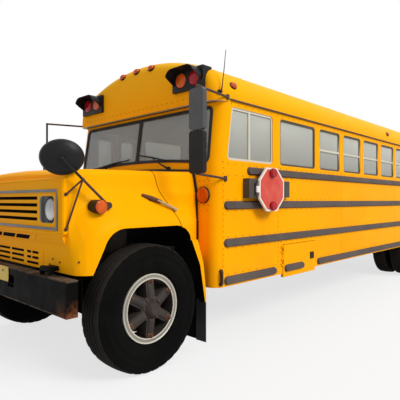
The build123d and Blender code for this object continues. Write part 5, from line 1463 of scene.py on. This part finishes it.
# %% Seams and roof bows
LAP = [(0.0, -0.012), (0.0014, -0.011), (0.0014, 0.011), (0.0, 0.012), (-0.001, 0.0)]
BOW = [(0.0, -0.030), (0.0022, -0.027), (0.0022, 0.027), (0.0, 0.030), (-0.001, 0.0)]
LAP_RUNS = ((0.60, 0.64), (0.66, 0.955), (1.05, 1.318), (1.412, 1.665), (1.76, 1.80))
BOW_STEPS, BOW_FOOT_Z = 25, 2.40
CROWN_Z = cad_box[1][2]


def strip_over(hits, section):
    return drawn([(point, normal, AX_Y) for point, normal in hits], section)


def bow_angle(i, s):
    swept = 4 + i * 3.55
    return radians(swept if s > 0 else 180 - swept)


laps = []
for name, s in SIDES:
    for y in SEAMS_Y:
        for z0, z1 in LAP_RUNS:
            origins = [(s * OUTSIDE, st(y), z) for z in spaced(z0, z1, 0.1)]
            hits = [on_skin((f"side_{name}", "front_wall"), o, (-s, 0, 0)) for o in origins]
            hits = [h for h in hits if h and abs(h[0].x) > 1.19]
            if len(hits) > 1:
                laps.append(strip_over(hits, LAP))
for y in ROOF_RINGS:
    for s in (1, -1):
        hits = []
        for i in range(BOW_STEPS):
            t = bow_angle(i, s)
            away = Vector((cos(t), 0, sin(t)))
            origin = Vector((0, st(y), 1.95)) + away * 2.0
            hit = on_skin(("roof", "side_left", "side_right"), origin, -away)
            if hit and hit[0].z > BOW_FOOT_Z:
                hits.append(hit)
        if len(hits) > 2:
            laps.append(strip_over(hits, BOW))
verts, faces = joined(*laps)
verts = [Vector((v.x, v.y, min(v.z, CROWN_Z))) for v in verts]
piece("skin_laps", (verts, faces), yellow, "bus")
print("lap strips", len(laps))

# %% [markdown]
# ## Drip rails
# A small gutter runs along each side above the windows. It is a hooked section drawn along
# the skin, in the same chipped grey as the rails.

# %% Drip rails
GUTTER_Z = 2.388
GUTTER = [
    (-0.001, 0.014), (0.006, 0.009), (0.016, 0.004), (0.021, 0.007), (0.024, 0.004),
    (0.022, -0.004), (0.012, -0.007), (-0.001, -0.004),
]
gutters = []
for name, s in SIDES:
    path = []
    for y in spaced(st(0.93), 4.98, 0.25):
        skins = (f"side_{name}", "front_wall", "roof")
        hit = on_skin(skins, (s * OUTSIDE, y, GUTTER_Z), (-s, 0, 0))
        if hit:
            path.append(((hit[0].x, y, GUTTER_Z), (s, 0, 0), AX_Z))
    gutters.append(drawn(path, GUTTER))
piece("drip_rails", joined(*gutters), rail_paint, "bus")
print("drip rails", len(gutters))

# %% [markdown]
# ## Wipers
# Two arms pivot under the screen and lay their blades low across the glass. The blade is a
# thin rubber lip under a sprung spine. Its points are cast onto the glass, then lifted by
# the height of the lip, so it lies along the curve of the pane.

# %% Wipers
SCREEN = ("windscreen", "windscreen_rubber", "front_wall")
# Wipers, each place as x and z: pivot, grip on the blade, the blade's two ends
WIPERS = [
    ((0.560, 1.742), (0.274, 1.876), (0.033, 1.921), (0.515, 1.831)),
    ((-0.600, 1.742), (-0.430, 1.847), (-0.721, 1.813), (-0.132, 1.881)),
]
SPINDLE = [
    (-0.006, 0.0), (-0.006, 0.021), (0.018, 0.019), (0.026, 0.013), (0.040, 0.012), (0.042, 0.0),
]
LIP = [
    (0.0015, -0.002), (0.012, -0.005), (0.020, -0.006), (0.021, 0.006), (0.012, 0.005),
    (0.0015, 0.002),
]
ARM_BOW = Vector((0, -0.012, 0))


def on_screen(x, z, lift):
    hit = on_skin(SCREEN, (x, st(0.2), z), AX_Y)
    return hit[0] + hit[1] * lift


arms, blades = [], []
for pivot, hold, a, b in WIPERS:
    base, grip = on_screen(*pivot, 0.0), on_screen(*hold, 0.034)
    arms.append(turned(SPINDLE, base, (0, -1, 0.1), 16))
    start = base + Vector((0, -0.034, 0.004))
    bends = [start.lerp(grip, t) + ARM_BOW for t in (0.25, 0.7)]
    arms.append(tube([start, *bends, grip], [0.010, 0.008, 0.006, 0.005], 8))
    ends = [(a[0] + (b[0] - a[0]) * i / 10, a[1] + (b[1] - a[1]) * i / 10) for i in range(11)]
    blades.append(drawn([(on_screen(x, z, 0.0), FORWARD, AX_Z) for x, z in ends], LIP))
    spine = [on_screen(*ends[k], lift) for k, lift in ((2, 0.024), (5, 0.034), (8, 0.024))]
    arms.append(tube(spine, [0.004, 0.007, 0.004], 8))
piece("wiper_arms", joined(*arms), under_black, "bus")
piece("wiper_blades", joined(*blades), rubber, "bus")
print("wipers", len(WIPERS))

# %% [markdown]
# ## Aerial
# A whip on a small turned foot at the corner of the header, leaning back with the pillar.
# It is a tube bent through four points that thins towards its tip. A curve object could do
# the same, but would have to be turned into a mesh.

# %% Aerial
WHIP_FOOT = [
    (-0.004, 0.0), (-0.004, 0.024), (0.010, 0.022), (0.018, 0.014), (0.030, 0.012), (0.032, 0.0),
]
WHIP = [(0.0, 0.0, 0.0), (0.004, 0.008, 0.05), (0.004, 0.036, 0.22), (0.0, 0.066, 0.41)]
at = on_skin(SHELL, (1.7, st(0.790), 2.440), (-1, 0, 0))[0]
knuckle = at + Vector((0.024, 0, 0))
whip = tube([knuckle + Vector(bend) for bend in WHIP], [0.008, 0.0055, 0.0042, 0.003], 8)
foot = turned(WHIP_FOOT, at, AX_X, 16)
piece("aerial", joined(foot, whip), plastic, "bus")
print("aerial foot at", [round(c, 3) for c in at])

# %% [markdown]
# ## Hood latches
# A sprung bar on each side of the hood reaches back over the cowl and ends in a knob. The
# bar, its handle and the hinge button all ride with the hood. Rays find the skin under five
# points, and a tube bent through them, a little lifted, follows the curve of the sheet.

# %% Hood latches
old_cream = worn(
    "old_cream", (0.42, 0.31, 0.16), (0.50, 0.38, 0.21), (0.15, 0.07, 0.03), 0.56, 0.5, 50
)
# Points along a latch: y, z, lift off the skin
LATCH = (
    (-0.002, 1.454, 0.010), (0.070, 1.421, 0.018), (0.146, 1.386, 0.026), (0.215, 1.352, 0.026),
    (0.282, 1.322, 0.020),
)
LATCH_BUTTON = [(-0.002, 0.0), (-0.002, 0.024), (0.006, 0.022), (0.012, 0.012), (0.018, 0.0)]
LATCH_KNOB = [
    (-0.020, 0.0), (-0.018, 0.010), (-0.008, 0.018), (0.004, 0.018), (0.012, 0.010), (0.014, 0.0),
]
for name, s in SIDES:
    marks = [
        on_skin(("hood_shell", "cowl"), (s * 1.5, st(y), z), (-s, 0, 0)) for y, z, _ in LATCH
    ]
    p = [point + normal * row[2] for (point, normal), row in zip(marks, LATCH)]
    grip = tube([*p[:3], p[2].lerp(p[3], 0.3)], [0.012, 0.021, 0.017, 0.010], 10)
    hinge = turned(LATCH_BUTTON, *marks[1], 14)
    piece(f"latch_handle_{name}", joined(grip, hinge), rust, "hood")
    root = p[1].lerp(p[2], 0.6) + Vector((s * 0.012, 0, 0))
    bar = tube([root, p[3], p[4]], [0.010, 0.013, 0.011], 10)
    knob = turned(LATCH_KNOB, p[4], marks[4][1], 14)
    piece(f"latch_bar_{name}", joined(bar, knob), old_cream, "hood")
print("hood latches set")

# %% [markdown]
# ## Bumper plate
# A blank plate is bolted to the bumper by two bolts. The plate has a rolled edge and a
# shallow dish, drawn as one outline with steps of height.

# %% Bumper plate
PLATE_Y, PLATE_Z = st(-0.765), 0.790
# Plate sections: half width, half height, corner radius, height
PLATE = (
    (0.196, 0.062, 0.010, 0.0005), (0.196, 0.062, 0.010, 0.0035), (0.192, 0.058, 0.008, 0.0050),
    (0.187, 0.053, 0.006, 0.0030), (0.10, 0.02, 0.004, 0.0028),
)
plate_paint = worn(
    "plate_paint", (0.62, 0.40, 0.03), (0.70, 0.47, 0.06), (0.30, 0.17, 0.05), 0.66, 0.4, 40
)
rings = []
for w, h, r, lift in PLATE:
    y, outline = PLATE_Y + 0.0004 - lift, rounded_square(w, h, r, 40)
    rings.append([Vector((u, y, PLATE_Z + v)) for u, v in outline])
piece("bumper_plate", lofted(rings), plate_paint, "bus")
plate_bolt = [(a * 0.5, r * 0.45) for a, r in HEX]
bolts = [turned(plate_bolt, (s * 0.089, PLATE_Y - 0.0025, 0.815), FORWARD, 6) for s in (1, -1)]
piece("plate_bolts", joined(*bolts), steel, "bus", smooth=False)
print("plate set on the bumper")

# %% [markdown]
# ## Slotted plates
# Air reaches the radiator through slots in the nose. Each group is a thin pressed plate: a
# sheet of cells with the slots left out, given its thickness by a solidify modifier, over
# a near-black sheet behind the openings, which is painted shade.

# %% Slotted plates
PLATE_LIFT, PLATE_THICK = 0.0017, 0.0036
SHADE_SHEET_LIFT, SHADE_SHEET_THICK = 0.0008, 0.0012


def within(value, spans):
    return any(a < value < b for a, b in spans)


def cells(xs, zs, place, is_open=None):
    verts, faces, seen = [], [], {}

    def corner(i, j):
        if (i, j) not in seen:
            seen[i, j] = len(verts)
            verts.append(place(xs[i], zs[j]))
        return seen[i, j]

    for i in range(len(xs) - 1):
        for j in range(len(zs) - 1):
            middle = (xs[i] + xs[i + 1]) / 2, (zs[j] + zs[j + 1]) / 2
            if not (is_open and is_open(*middle)):
                ring = ((i, j), (i + 1, j), (i + 1, j + 1), (i, j + 1))
                faces.append(tuple(corner(*at) for at in ring))
    return verts, faces


def slotted(name, shape):
    sheet = piece(name, shape, yellow, "hood", smooth=False)
    thicken(sheet, PLATE_THICK, 0.0)


# A near-black sheet behind the slots: painted shade in the openings.
def shade_sheet_behind(name, shape):
    sheet = piece(name, shape, black_and_shade, "hood", smooth=False)
    thicken(sheet, SHADE_SHEET_THICK, 0.0)


print("slotted plates", PLATE_THICK, "m thick")

# %% [markdown]
# ## Slots in the lip
# The lip under the grille leans back and has three long slots whose ends slant. The cells
# are laid on the leaning face, and every row is shifted a little further sideways.

# %% Slots in the lip
LIP_TOP, LIP_FOOT = (st(-0.692), 1.150), (st(-0.666), 1.082)
LIP_OUT = Vector((0, -0.934, -0.357))
LIP_MID_Z, SLOT_LEAN = 1.113, 1.6
LIP_ROWS = (1.086, 1.094, 1.131, 1.143)
LIP_CUTS = (-0.510, -0.405, -0.152, -0.126, 0.126, 0.152, 0.405, 0.510)
LIP_OPEN = ((-0.405, -0.152), (-0.126, 0.126), (0.152, 0.405))


def on_lip(lift):
    def place(x, z):
        t = (LIP_TOP[1] - z) / (LIP_TOP[1] - LIP_FOOT[1])
        y = LIP_TOP[0] + (LIP_FOOT[0] - LIP_TOP[0]) * t
        return Vector((x + (z - LIP_MID_Z) * SLOT_LEAN, y, z)) + LIP_OUT * lift

    return place


def in_lip(x, z):
    return LIP_ROWS[1] < z < LIP_ROWS[2] and within(x, LIP_OPEN)


slotted("lip_slot_plate", cells(LIP_CUTS, LIP_ROWS, on_lip(PLATE_LIFT), in_lip))
lip_shade_cells = (-0.495, -0.240, 0.0, 0.240, 0.495), (1.090, LIP_MID_Z, 1.138)
shade_sheet_behind("lip_slot_shade_sheet", cells(*lip_shade_cells, on_lip(SHADE_SHEET_LIFT)))
print("slots in the lip", len(LIP_OPEN))

# %% [markdown]
# ## Slots in the valance
# Below the lip the valance stands upright and has three rows of slots. The pattern is the
# same to both sides, so the cuts of one half are mirrored; in the lowest row the two outer
# slots run together.

# %% Slots in the valance
VALANCE = st(-0.660)
GRID_COLUMNS = ((0.016, 0.262), (0.320, 0.396), (0.415, 0.528))
GRID_ROWS = ((0.892, 0.913), (0.936, 0.957), (0.979, 1.000))
LONG_SLOT = (0.320, 0.528)


def on_valance(lift):
    return lambda x, z: Vector((x, VALANCE - lift, z))


def in_grid(x, z):
    columns = (LONG_SLOT, *GRID_COLUMNS) if z < GRID_ROWS[0][1] else GRID_COLUMNS
    return within(z, GRID_ROWS) and within(abs(x), columns)


grid_cuts = [0.606] + [c for pair in GRID_COLUMNS for c in pair]
grid_x = sorted({0.0, *grid_cuts, *(-c for c in grid_cuts)})
grid_z = [0.882] + [c for pair in GRID_ROWS for c in pair] + [1.012]
slotted("valance_plate", cells(grid_x, grid_z, on_valance(PLATE_LIFT), in_grid))
grid_shade_cells = (-0.597, -0.190, 0.190, 0.597), (0.886, 0.945, 1.006)
shade_sheet_behind("valance_shade_sheet", cells(*grid_shade_cells, on_valance(SHADE_SHEET_LIFT)))
print("grid rows", len(GRID_ROWS))

# %% [markdown]
# ## Radiator screen and pressed edge
# Behind the grille bars a pleated screen keeps leaves off the radiator, so no daylight shows
# through the nose; its near-black is painted shade behind the grille. Round the front, the
# sheet is rolled over a wire: a half-round bead that follows the rounded rectangle and catches
# a line of light. Rusty bolts hold the corners.

# %% Radiator screen and pressed edge
PLEATS, PLEAT_PITCH, PLEAT_DEPTH = 101, 0.0117, 0.003
SCREEN_LEFT, SCREEN_Y, SCREEN_Z = -0.585, HOOD_FRONT + 0.0165, 1.3475
EDGE_MID, EDGE_HALF, EDGE_R = 1.370, (0.968, 0.204), 0.03
BEAD = [(0.0105 * cos(pi * i / 8), 0.0065 * sin(pi * i / 8)) for i in range(9)]
BEAD += [(-0.0105, -0.004), (0.0105, -0.004)]
FENDER_BOLT = button(0.003, 0.0085, 0.004, 0.006, 0.006)
FENDER_BOLTS_AT = ((0.760, 0.962), (0.868, 0.948), (0.712, 0.918), (1.100, 0.968))


def slab_section(u0, u1, v0, v1):
    return [(u0, v0), (u1, v0), (u1, v1), (u0, v1)]


pleats = []
for i in range(PLEATS):
    at = (SCREEN_LEFT + PLEAT_PITCH * i, SCREEN_Y + PLEAT_DEPTH * (i % 2), SCREEN_Z)
    pleats.append((at, AX_Y, AX_Z))
shade_screen_shape = drawn(pleats, slab_section(-0.0015, 0.0015, -0.112, 0.112))
# The pleated screen is near-black: painted shade behind the grille.
piece("radiator_shade_screen", shade_screen_shape, black_and_shade, "hood", smooth=False)
outline = rounded_square(*EDGE_HALF, EDGE_R, 128)
stations = []
for k in range(len(outline) + 1):
    u, v = outline[k % len(outline)]
    before, after = outline[k - 1], outline[(k + 1) % len(outline)]
    outward = Vector((after[1] - before[1], 0, before[0] - after[0])).normalized()
    stations.append(((u, HOOD_FRONT, EDGE_MID + v), outward, FORWARD))
bead = drawn(stations, BEAD, capped=False)
piece("nose_edge_bead", bead, yellow, "hood")
bolts = []
for s in (1, -1):
    for x, z in FENDER_BOLTS_AT:
        hit = on_skin(("hood_shell",), (s * x, st(-1.2), z), AX_Y)
        if hit:
            bolts.append(turned(FENDER_BOLT, *hit, 8))
piece("fender_bolts", joined(*bolts), rust, "hood", smooth=False)
print("pleats", len(pleats), "fender bolts", len(bolts))

# %% [markdown]
# ## Splash aprons
# Behind the bumper and beside the engine, rubber aprons close the gap to the wheels. Each is
# a thin sheet that starts on the face of the frame rail; a little wave keeps it from
# looking like a board. A flap hangs behind each front wheel.

# %% Splash aprons
RAIL_FACE = 0.430
APRON, SHIELD, FLAP = (
    slab_section(0.0, thick, low, top)
    for thick, low, top in ((0.006, -0.095, 0.155), (0.005, -0.13, 0.22), (0.007, -0.25, 0.28))
)
aprons = []
for s in (1, -1):
    sheet, shield, flap = [], [], []
    for i in range(9):
        apron_at = (s * (RAIL_FACE + i * 0.0875), st(-0.631) + 0.004 * sin(i * 1.3), 0.70)
        flap_at = (s * (0.80 + 0.04 * i), st(0.613) + 0.003 * sin(i * 0.9), 0.37)
        sheet.append((apron_at, AX_Y, AX_Z))
        shield.append(((s * RAIL_FACE, st(-0.60 + 0.06 * i), 0.60), (s, 0, 0), AX_Z))
        flap.append((flap_at, AX_Y, AX_Z))
    aprons += [drawn(sheet, APRON), drawn(shield, SHIELD), drawn(flap, FLAP)]
piece("splash_aprons", joined(*aprons), black_and_shade, "bus")
print("aprons", len(aprons))

# %% [markdown]
# ## Door and window rubbers
# Glass in the doors and the rear wall is held by a black rubber channel. It is a small
# D-shaped section drawn round the rounded outline of each pane.

# %% Door and window rubbers
CHANNEL = [
    (-0.004, -0.011), (0.005, -0.010), (0.009, -0.004), (0.009, 0.004), (0.005, 0.010),
    (-0.004, 0.011),
]
EMERGENCY_PANES = ((1.16, 1.60), (1.805, 2.26))
LEAF_PANES = ((0.56, 1.18), (1.26, 2.25))
LEAVES = {"front": (0.951, 1.308), "rear": (1.322, 1.679)}
LEAF_STILE = 0.06


def ring_round(centre, half_u, half_v, r, u_axis, out):
    across, up, outline = Vector(u_axis), Vector(AX_Z), rounded_square(half_u, half_v, r, 64)
    stations = []
    for u, v in outline + outline[:1]:
        radial = (across * (u / half_u**2) + up * (v / half_v**2)).normalized()
        stations.append((Vector(centre) + across * u + up * v, out, radial))
    return drawn(stations, CHANNEL, capped=False)


rear_rings = [
    ring_round((s * 0.74, REAR_WALL, 2.065), 0.27, 0.26, 0.045, AX_X, AX_Y) for s in (1, -1)
]
piece("rear_window_rubbers", joined(*rear_rings), rubber, "bus")
door_rings = [
    ring_round((0, REAR_WALL, (z0 + z1) / 2), 0.27, (z1 - z0) / 2, 0.045, AX_X, AX_Y)
    for z0, z1 in EMERGENCY_PANES
]
piece("emergency_rubbers", joined(*door_rings), rubber, "emergency")
for leaf, (y0, y1) in LEAVES.items():
    mid, half = st((y0 + y1) / 2), (y1 - y0) / 2 - LEAF_STILE
    rings = [
        ring_round((-SIDE, mid, (z0 + z1) / 2), half, (z1 - z0) / 2, 0.04, AX_Y, (-1, 0, 0))
        for z0, z1 in LEAF_PANES
    ]
    piece(f"entrance_rubbers_{leaf}", joined(*rings), rubber, f"entrance_{leaf}")
print("window rubbers set")

# %% [markdown]
# ## Skirt springs
# A small coil spring hangs at each front corner of the skirt and holds the fender's tail
# against the wall. Its coils are a ribbed turning, pinned by a button at each end; a true
# helix would look the same at this size and cost more faces.

# %% Skirt springs
COILS, COIL_PITCH = 9, 0.012
SPRING_AT, SPRING_HALF = (st(0.800), 0.68), 0.062
SPRING_PIN = [(-0.004, 0.0), (-0.004, 0.020), (0.012, 0.019), (0.022, 0.012), (0.024, 0.0)]
coil = [(-0.002, 0.0)]
for i in range(COILS):
    a = COIL_PITCH * i
    coil += [(a, 0.010), (a + 0.004, 0.017), (a + 0.008, 0.017)]
coil.append((0.112, 0.0))
skins = ("side_left", "side_right", "front_wall")
springs = []
for s in (1, -1):
    point, out = on_skin(skins, (s * 1.7, *SPRING_AT), (-s, 0, 0))
    springs.append(turned(coil, point + out * 0.019 - Vector((0, 0, 0.055)), AX_Z, 12))
    for dz in (-SPRING_HALF, SPRING_HALF):
        springs.append(turned(SPRING_PIN, point + Vector((0, 0, dz)), out, 12))
piece("skirt_springs", joined(*springs), boom_iron, "bus")
print("skirt springs", len(springs))

# %% [markdown]
# ## Entrance steps
# Behind the doors, two steps lead up to the aisle. Each tread is a ribbed rubber mat, the
# upper one has a bright nosing, and a kick plate closes the last rise up to the floor. The
# ribs are part of the section that is drawn across the doorway.

# %% Entrance steps
DOORWAY = (st(0.953), st(1.677))
AISLE_Z = 0.9395
LOW_STEP_Z, HIGH_STEP_Z = 0.4402, 0.7202
RIB_PITCH = 0.024
NOSING = [(-0.012, 0.002), (-0.012, 0.010), (-0.006, 0.012), (0.020, 0.010), (0.020, 0.002)]


def across_doorway(section, z=0.0):
    return drawn([((0, y, z), AX_X, AX_Z) for y in DOORWAY], section)


def ribbed(x0, x1, z):
    count = int((x1 - x0) / RIB_PITCH)
    pitch = (x1 - x0) / count
    section = []
    for i in range(count):
        for share, height in ((0.0, 0.004), (0.3, 0.004), (0.4, 0.008), (0.9, 0.008)):
            section.append((x0 + i * pitch + pitch * share, height))
    return across_doorway(section + [(x1, 0.004), (x1, 0.0), (x0, 0.0)], z)


treads = [ribbed(-1.150, -0.934, LOW_STEP_Z), ribbed(-0.926, -0.704, HIGH_STEP_Z)]
piece("step_treads", joined(*treads), mat_floor, "bus", smooth=False)
nosing = across_doorway([(u - 0.916, HIGH_STEP_Z + v) for u, v in NOSING])
piece("step_nosing", nosing, sash, "bus", smooth=False)
kick = across_doorway(slab_section(-0.7005, -0.6975, 0.7205, AISLE_Z))
piece("kick_plate", kick, under_black, "bus", smooth=False)
print("treads", len(treads))

# %% [markdown]
# ## Battery box
# Behind the small door in the skirt hangs a sheet tray with two batteries. The tray is a
# floor and three folded walls, open at the top and to the door. A battery is a moulded case
# with a wider lid, six filler caps and two posts.

# %% Battery box
TRAY_X, TRAY_Y, TRAY_Z = (0.660, 1.1595), (st(1.872), st(2.586)), (0.604, 0.930)
BATTERIES_Y = (st(2.06), st(2.40))
LID_Z = TRAY_Z[0] + 0.198
# Case sections: height, share of the outline
CASE = [(0.0, 0.97), (0.004, 1.0), (0.160, 1.0), (0.162, 1.03), (0.192, 1.03), (0.196, 1.0)]
FILLER_CAP = button(0.004, 0.014, 0.006, 0.009, 0.011)
POST = [
    (-0.004, 0.0), (-0.004, 0.018), (0.004, 0.018), (0.006, 0.009), (0.022, 0.008), (0.024, 0.0),
]
# Tray walls: each corner as 0 or 1 along x, y and z
TRAY_WALLS = (
    ((0, 0, 0), (1, 0, 0), (1, 1, 0), (0, 1, 0)), ((0, 0, 0), (0, 1, 0), (0, 1, 1), (0, 0, 1)),
    ((0, 0, 0), (0, 0, 1), (1, 0, 1), (1, 0, 0)), ((0, 1, 0), (1, 1, 0), (1, 1, 1), (0, 1, 1)),
)
walls = []
for wall in TRAY_WALLS:
    corners = [Vector((TRAY_X[i], TRAY_Y[j], TRAY_Z[k])) for i, j, k in wall]
    walls.append((corners, [(0, 1, 2, 3)]))
box = piece("battery_tray", joined(*walls), under_black, "bus", smooth=False)
box.modifiers.new("join", "WELD").merge_threshold = 0.0005
thicken(box, 0.003, 0.0)
outline = rounded_square(0.165, 0.130, 0.015, 48)
cases, posts = [], []
for y in BATTERIES_Y:
    rings = []
    for h, k in CASE:
        z = TRAY_Z[0] + 0.002 + h
        rings.append([Vector((0.955 + u * k, y + v * k, z)) for u, v in outline])
    cases.append(lofted(rings))
    cases += [turned(FILLER_CAP, (0.830 + 0.050 * i, y, LID_Z), AX_Z, 16) for i in range(6)]
    posts += [turned(POST, (1.085, y + dy, LID_Z), AX_Z, 16) for dy in (-0.085, 0.085)]
piece("batteries", joined(*cases), plastic, "bus")
piece("battery_posts", joined(*posts), sash, "bus")
print("batteries", len(BATTERIES_Y), "posts", len(posts))

# %% [markdown]
# ## Engine top
# With the hood tilted the engine shows. The CAD block carries it; here it gets two pressed
# rocker covers, lofted from one outline that shrinks as it rises, and a round air cleaner
# with a nut on its lid.

# %% Engine top
BLOCK_TOP = 1.250
COVER_X, COVER_Y = 0.195, st(-0.020)
# Cover sections: height, share of the outline
COVER = [(0.0, 1.06), (0.010, 1.06), (0.012, 0.98), (0.045, 0.95), (0.062, 0.86), (0.070, 0.70)]
COVER_BOLT = button(0.003, 0.011, 0.008, 0.010, 0.009)
CLEANER = [
    (0.0, 0.0), (0.0, 0.060), (0.092, 0.058), (0.098, 0.185), (0.106, 0.198), (0.178, 0.198),
    (0.186, 0.190), (0.192, 0.150), (0.200, 0.060), (0.206, 0.050), (0.207, 0.014), (0.222, 0.012),
    (0.226, 0.0),
]
outline = rounded_square(0.088, 0.335, 0.04, 64)
covers = []
for s in (1, -1):
    rings = []
    for h, k in COVER:
        long = 1 - (1 - k) * 0.3
        x, z = s * COVER_X, BLOCK_TOP + h
        rings.append([Vector((x + u * k, COVER_Y + v * long, z)) for u, v in outline])
    covers.append(lofted(rings))
    for y in (-0.300, -0.115, 0.075, 0.260):
        covers.append(turned(COVER_BOLT, (s * COVER_X, st(y), BLOCK_TOP + 0.070), AX_Z, 6))
piece("rocker_covers", joined(*covers), boom_iron, "bus")
cleaner = turned(CLEANER, (0, COVER_Y, BLOCK_TOP), AX_Z, 48)
piece("air_cleaner", cleaner, plastic, "bus")
print("rocker covers and air cleaner on the block at", BLOCK_TOP)

# %% [markdown]
# ## Fan
# Six pressed blades on a turned hub, at the front of the block. Each blade is a thin strip
# drawn outward, twisted so that it would pull air through the radiator.

# %% Fan
FAN_AT, FAN_BLADES = Vector((0, st(-0.420), 1.060)), 6
FAN_HUB = [(0.0, 0.0), (0.0, 0.070), (0.020, 0.068), (0.024, 0.045), (0.060, 0.042), (0.064, 0.0)]
# Blade sections: radius, width
BLADE = ((0.036, 0.055), (0.090, 0.085), (0.190, 0.105), (0.235, 0.095))
fan = [turned(FAN_HUB, FAN_AT, FORWARD, 24)]
for i in range(FAN_BLADES):
    angle = i * pi / 3
    radial, tangent = Vector((sin(angle), 0, cos(angle))), Vector((cos(angle), 0, -sin(angle)))
    twist = (tangent * 0.9 + Vector((0, 0.42, 0))).normalized()
    root, flat = FAN_AT + Vector((0, -0.042, 0)), radial.cross(twist)
    sections = [(root + radial * r, twist * w, flat) for r, w in BLADE]
    fan.append(drawn(sections, slab_section(-0.5, 0.5, 0.0, 0.002)))
piece("cooling_fan", joined(*fan), steel, "bus")
print("fan blades", FAN_BLADES)

# %% [markdown]
# ## Radiator
# The radiator stands on the frame rails behind the grille: a core folded in fine pleats, a
# tank above and below it, a channel up each side and a filler cap. Real fins are thousands
# of thin sheets, and one pleated slab gives the same fine lines.

# %% Radiator
CORE_Y, CORE_LEFT, CORE_PLEATS, CORE_PITCH = st(-0.575), -0.322, 81, 0.00805
TANK_ENDS = ((-0.335, 0.8), (-0.325, 1.0), (0.325, 1.0), (0.335, 0.8))
FRAME_Z = (0.9004, 1.100, 1.300, 1.452)
core = []
for i in range(CORE_PLEATS):
    core.append(((CORE_LEFT + CORE_PITCH * i, CORE_Y + 0.004 * (i % 2), 1.190), AX_Y, AX_Z))
radiator = [drawn(core, slab_section(-0.026, 0.022, -0.255, 0.255))]
tank = rounded_square(0.034, 0.034, 0.022, 24)
for z in (1.470, 0.9275):
    ends = [((x, CORE_Y, z), (0, k, 0), (0, 0, k)) for x, k in TANK_ENDS]
    radiator.append(drawn(ends, tank))
channel = slab_section(0.0, 0.052, -0.030, 0.030)
for s in (1, -1):
    post = [((s * 0.323, CORE_Y, z), (s, 0, 0), AX_Y) for z in FRAME_Z]
    radiator.append(drawn(post, channel))
radiator.append(turned(button(0.010, 0.030, 0.012, 0.016, 0.024), (0.18, CORE_Y, 1.504), AX_Z, 20))
piece("radiator", joined(*radiator), under_black, "bus", smooth=False)
print("radiator pleats", len(core))

# %% [markdown]
# ## Finish
# The box of the CAD model is printed.

# %% Write sizes and finish
print("cad box", [[round(c, 3) for c in v] for v in cad_box])
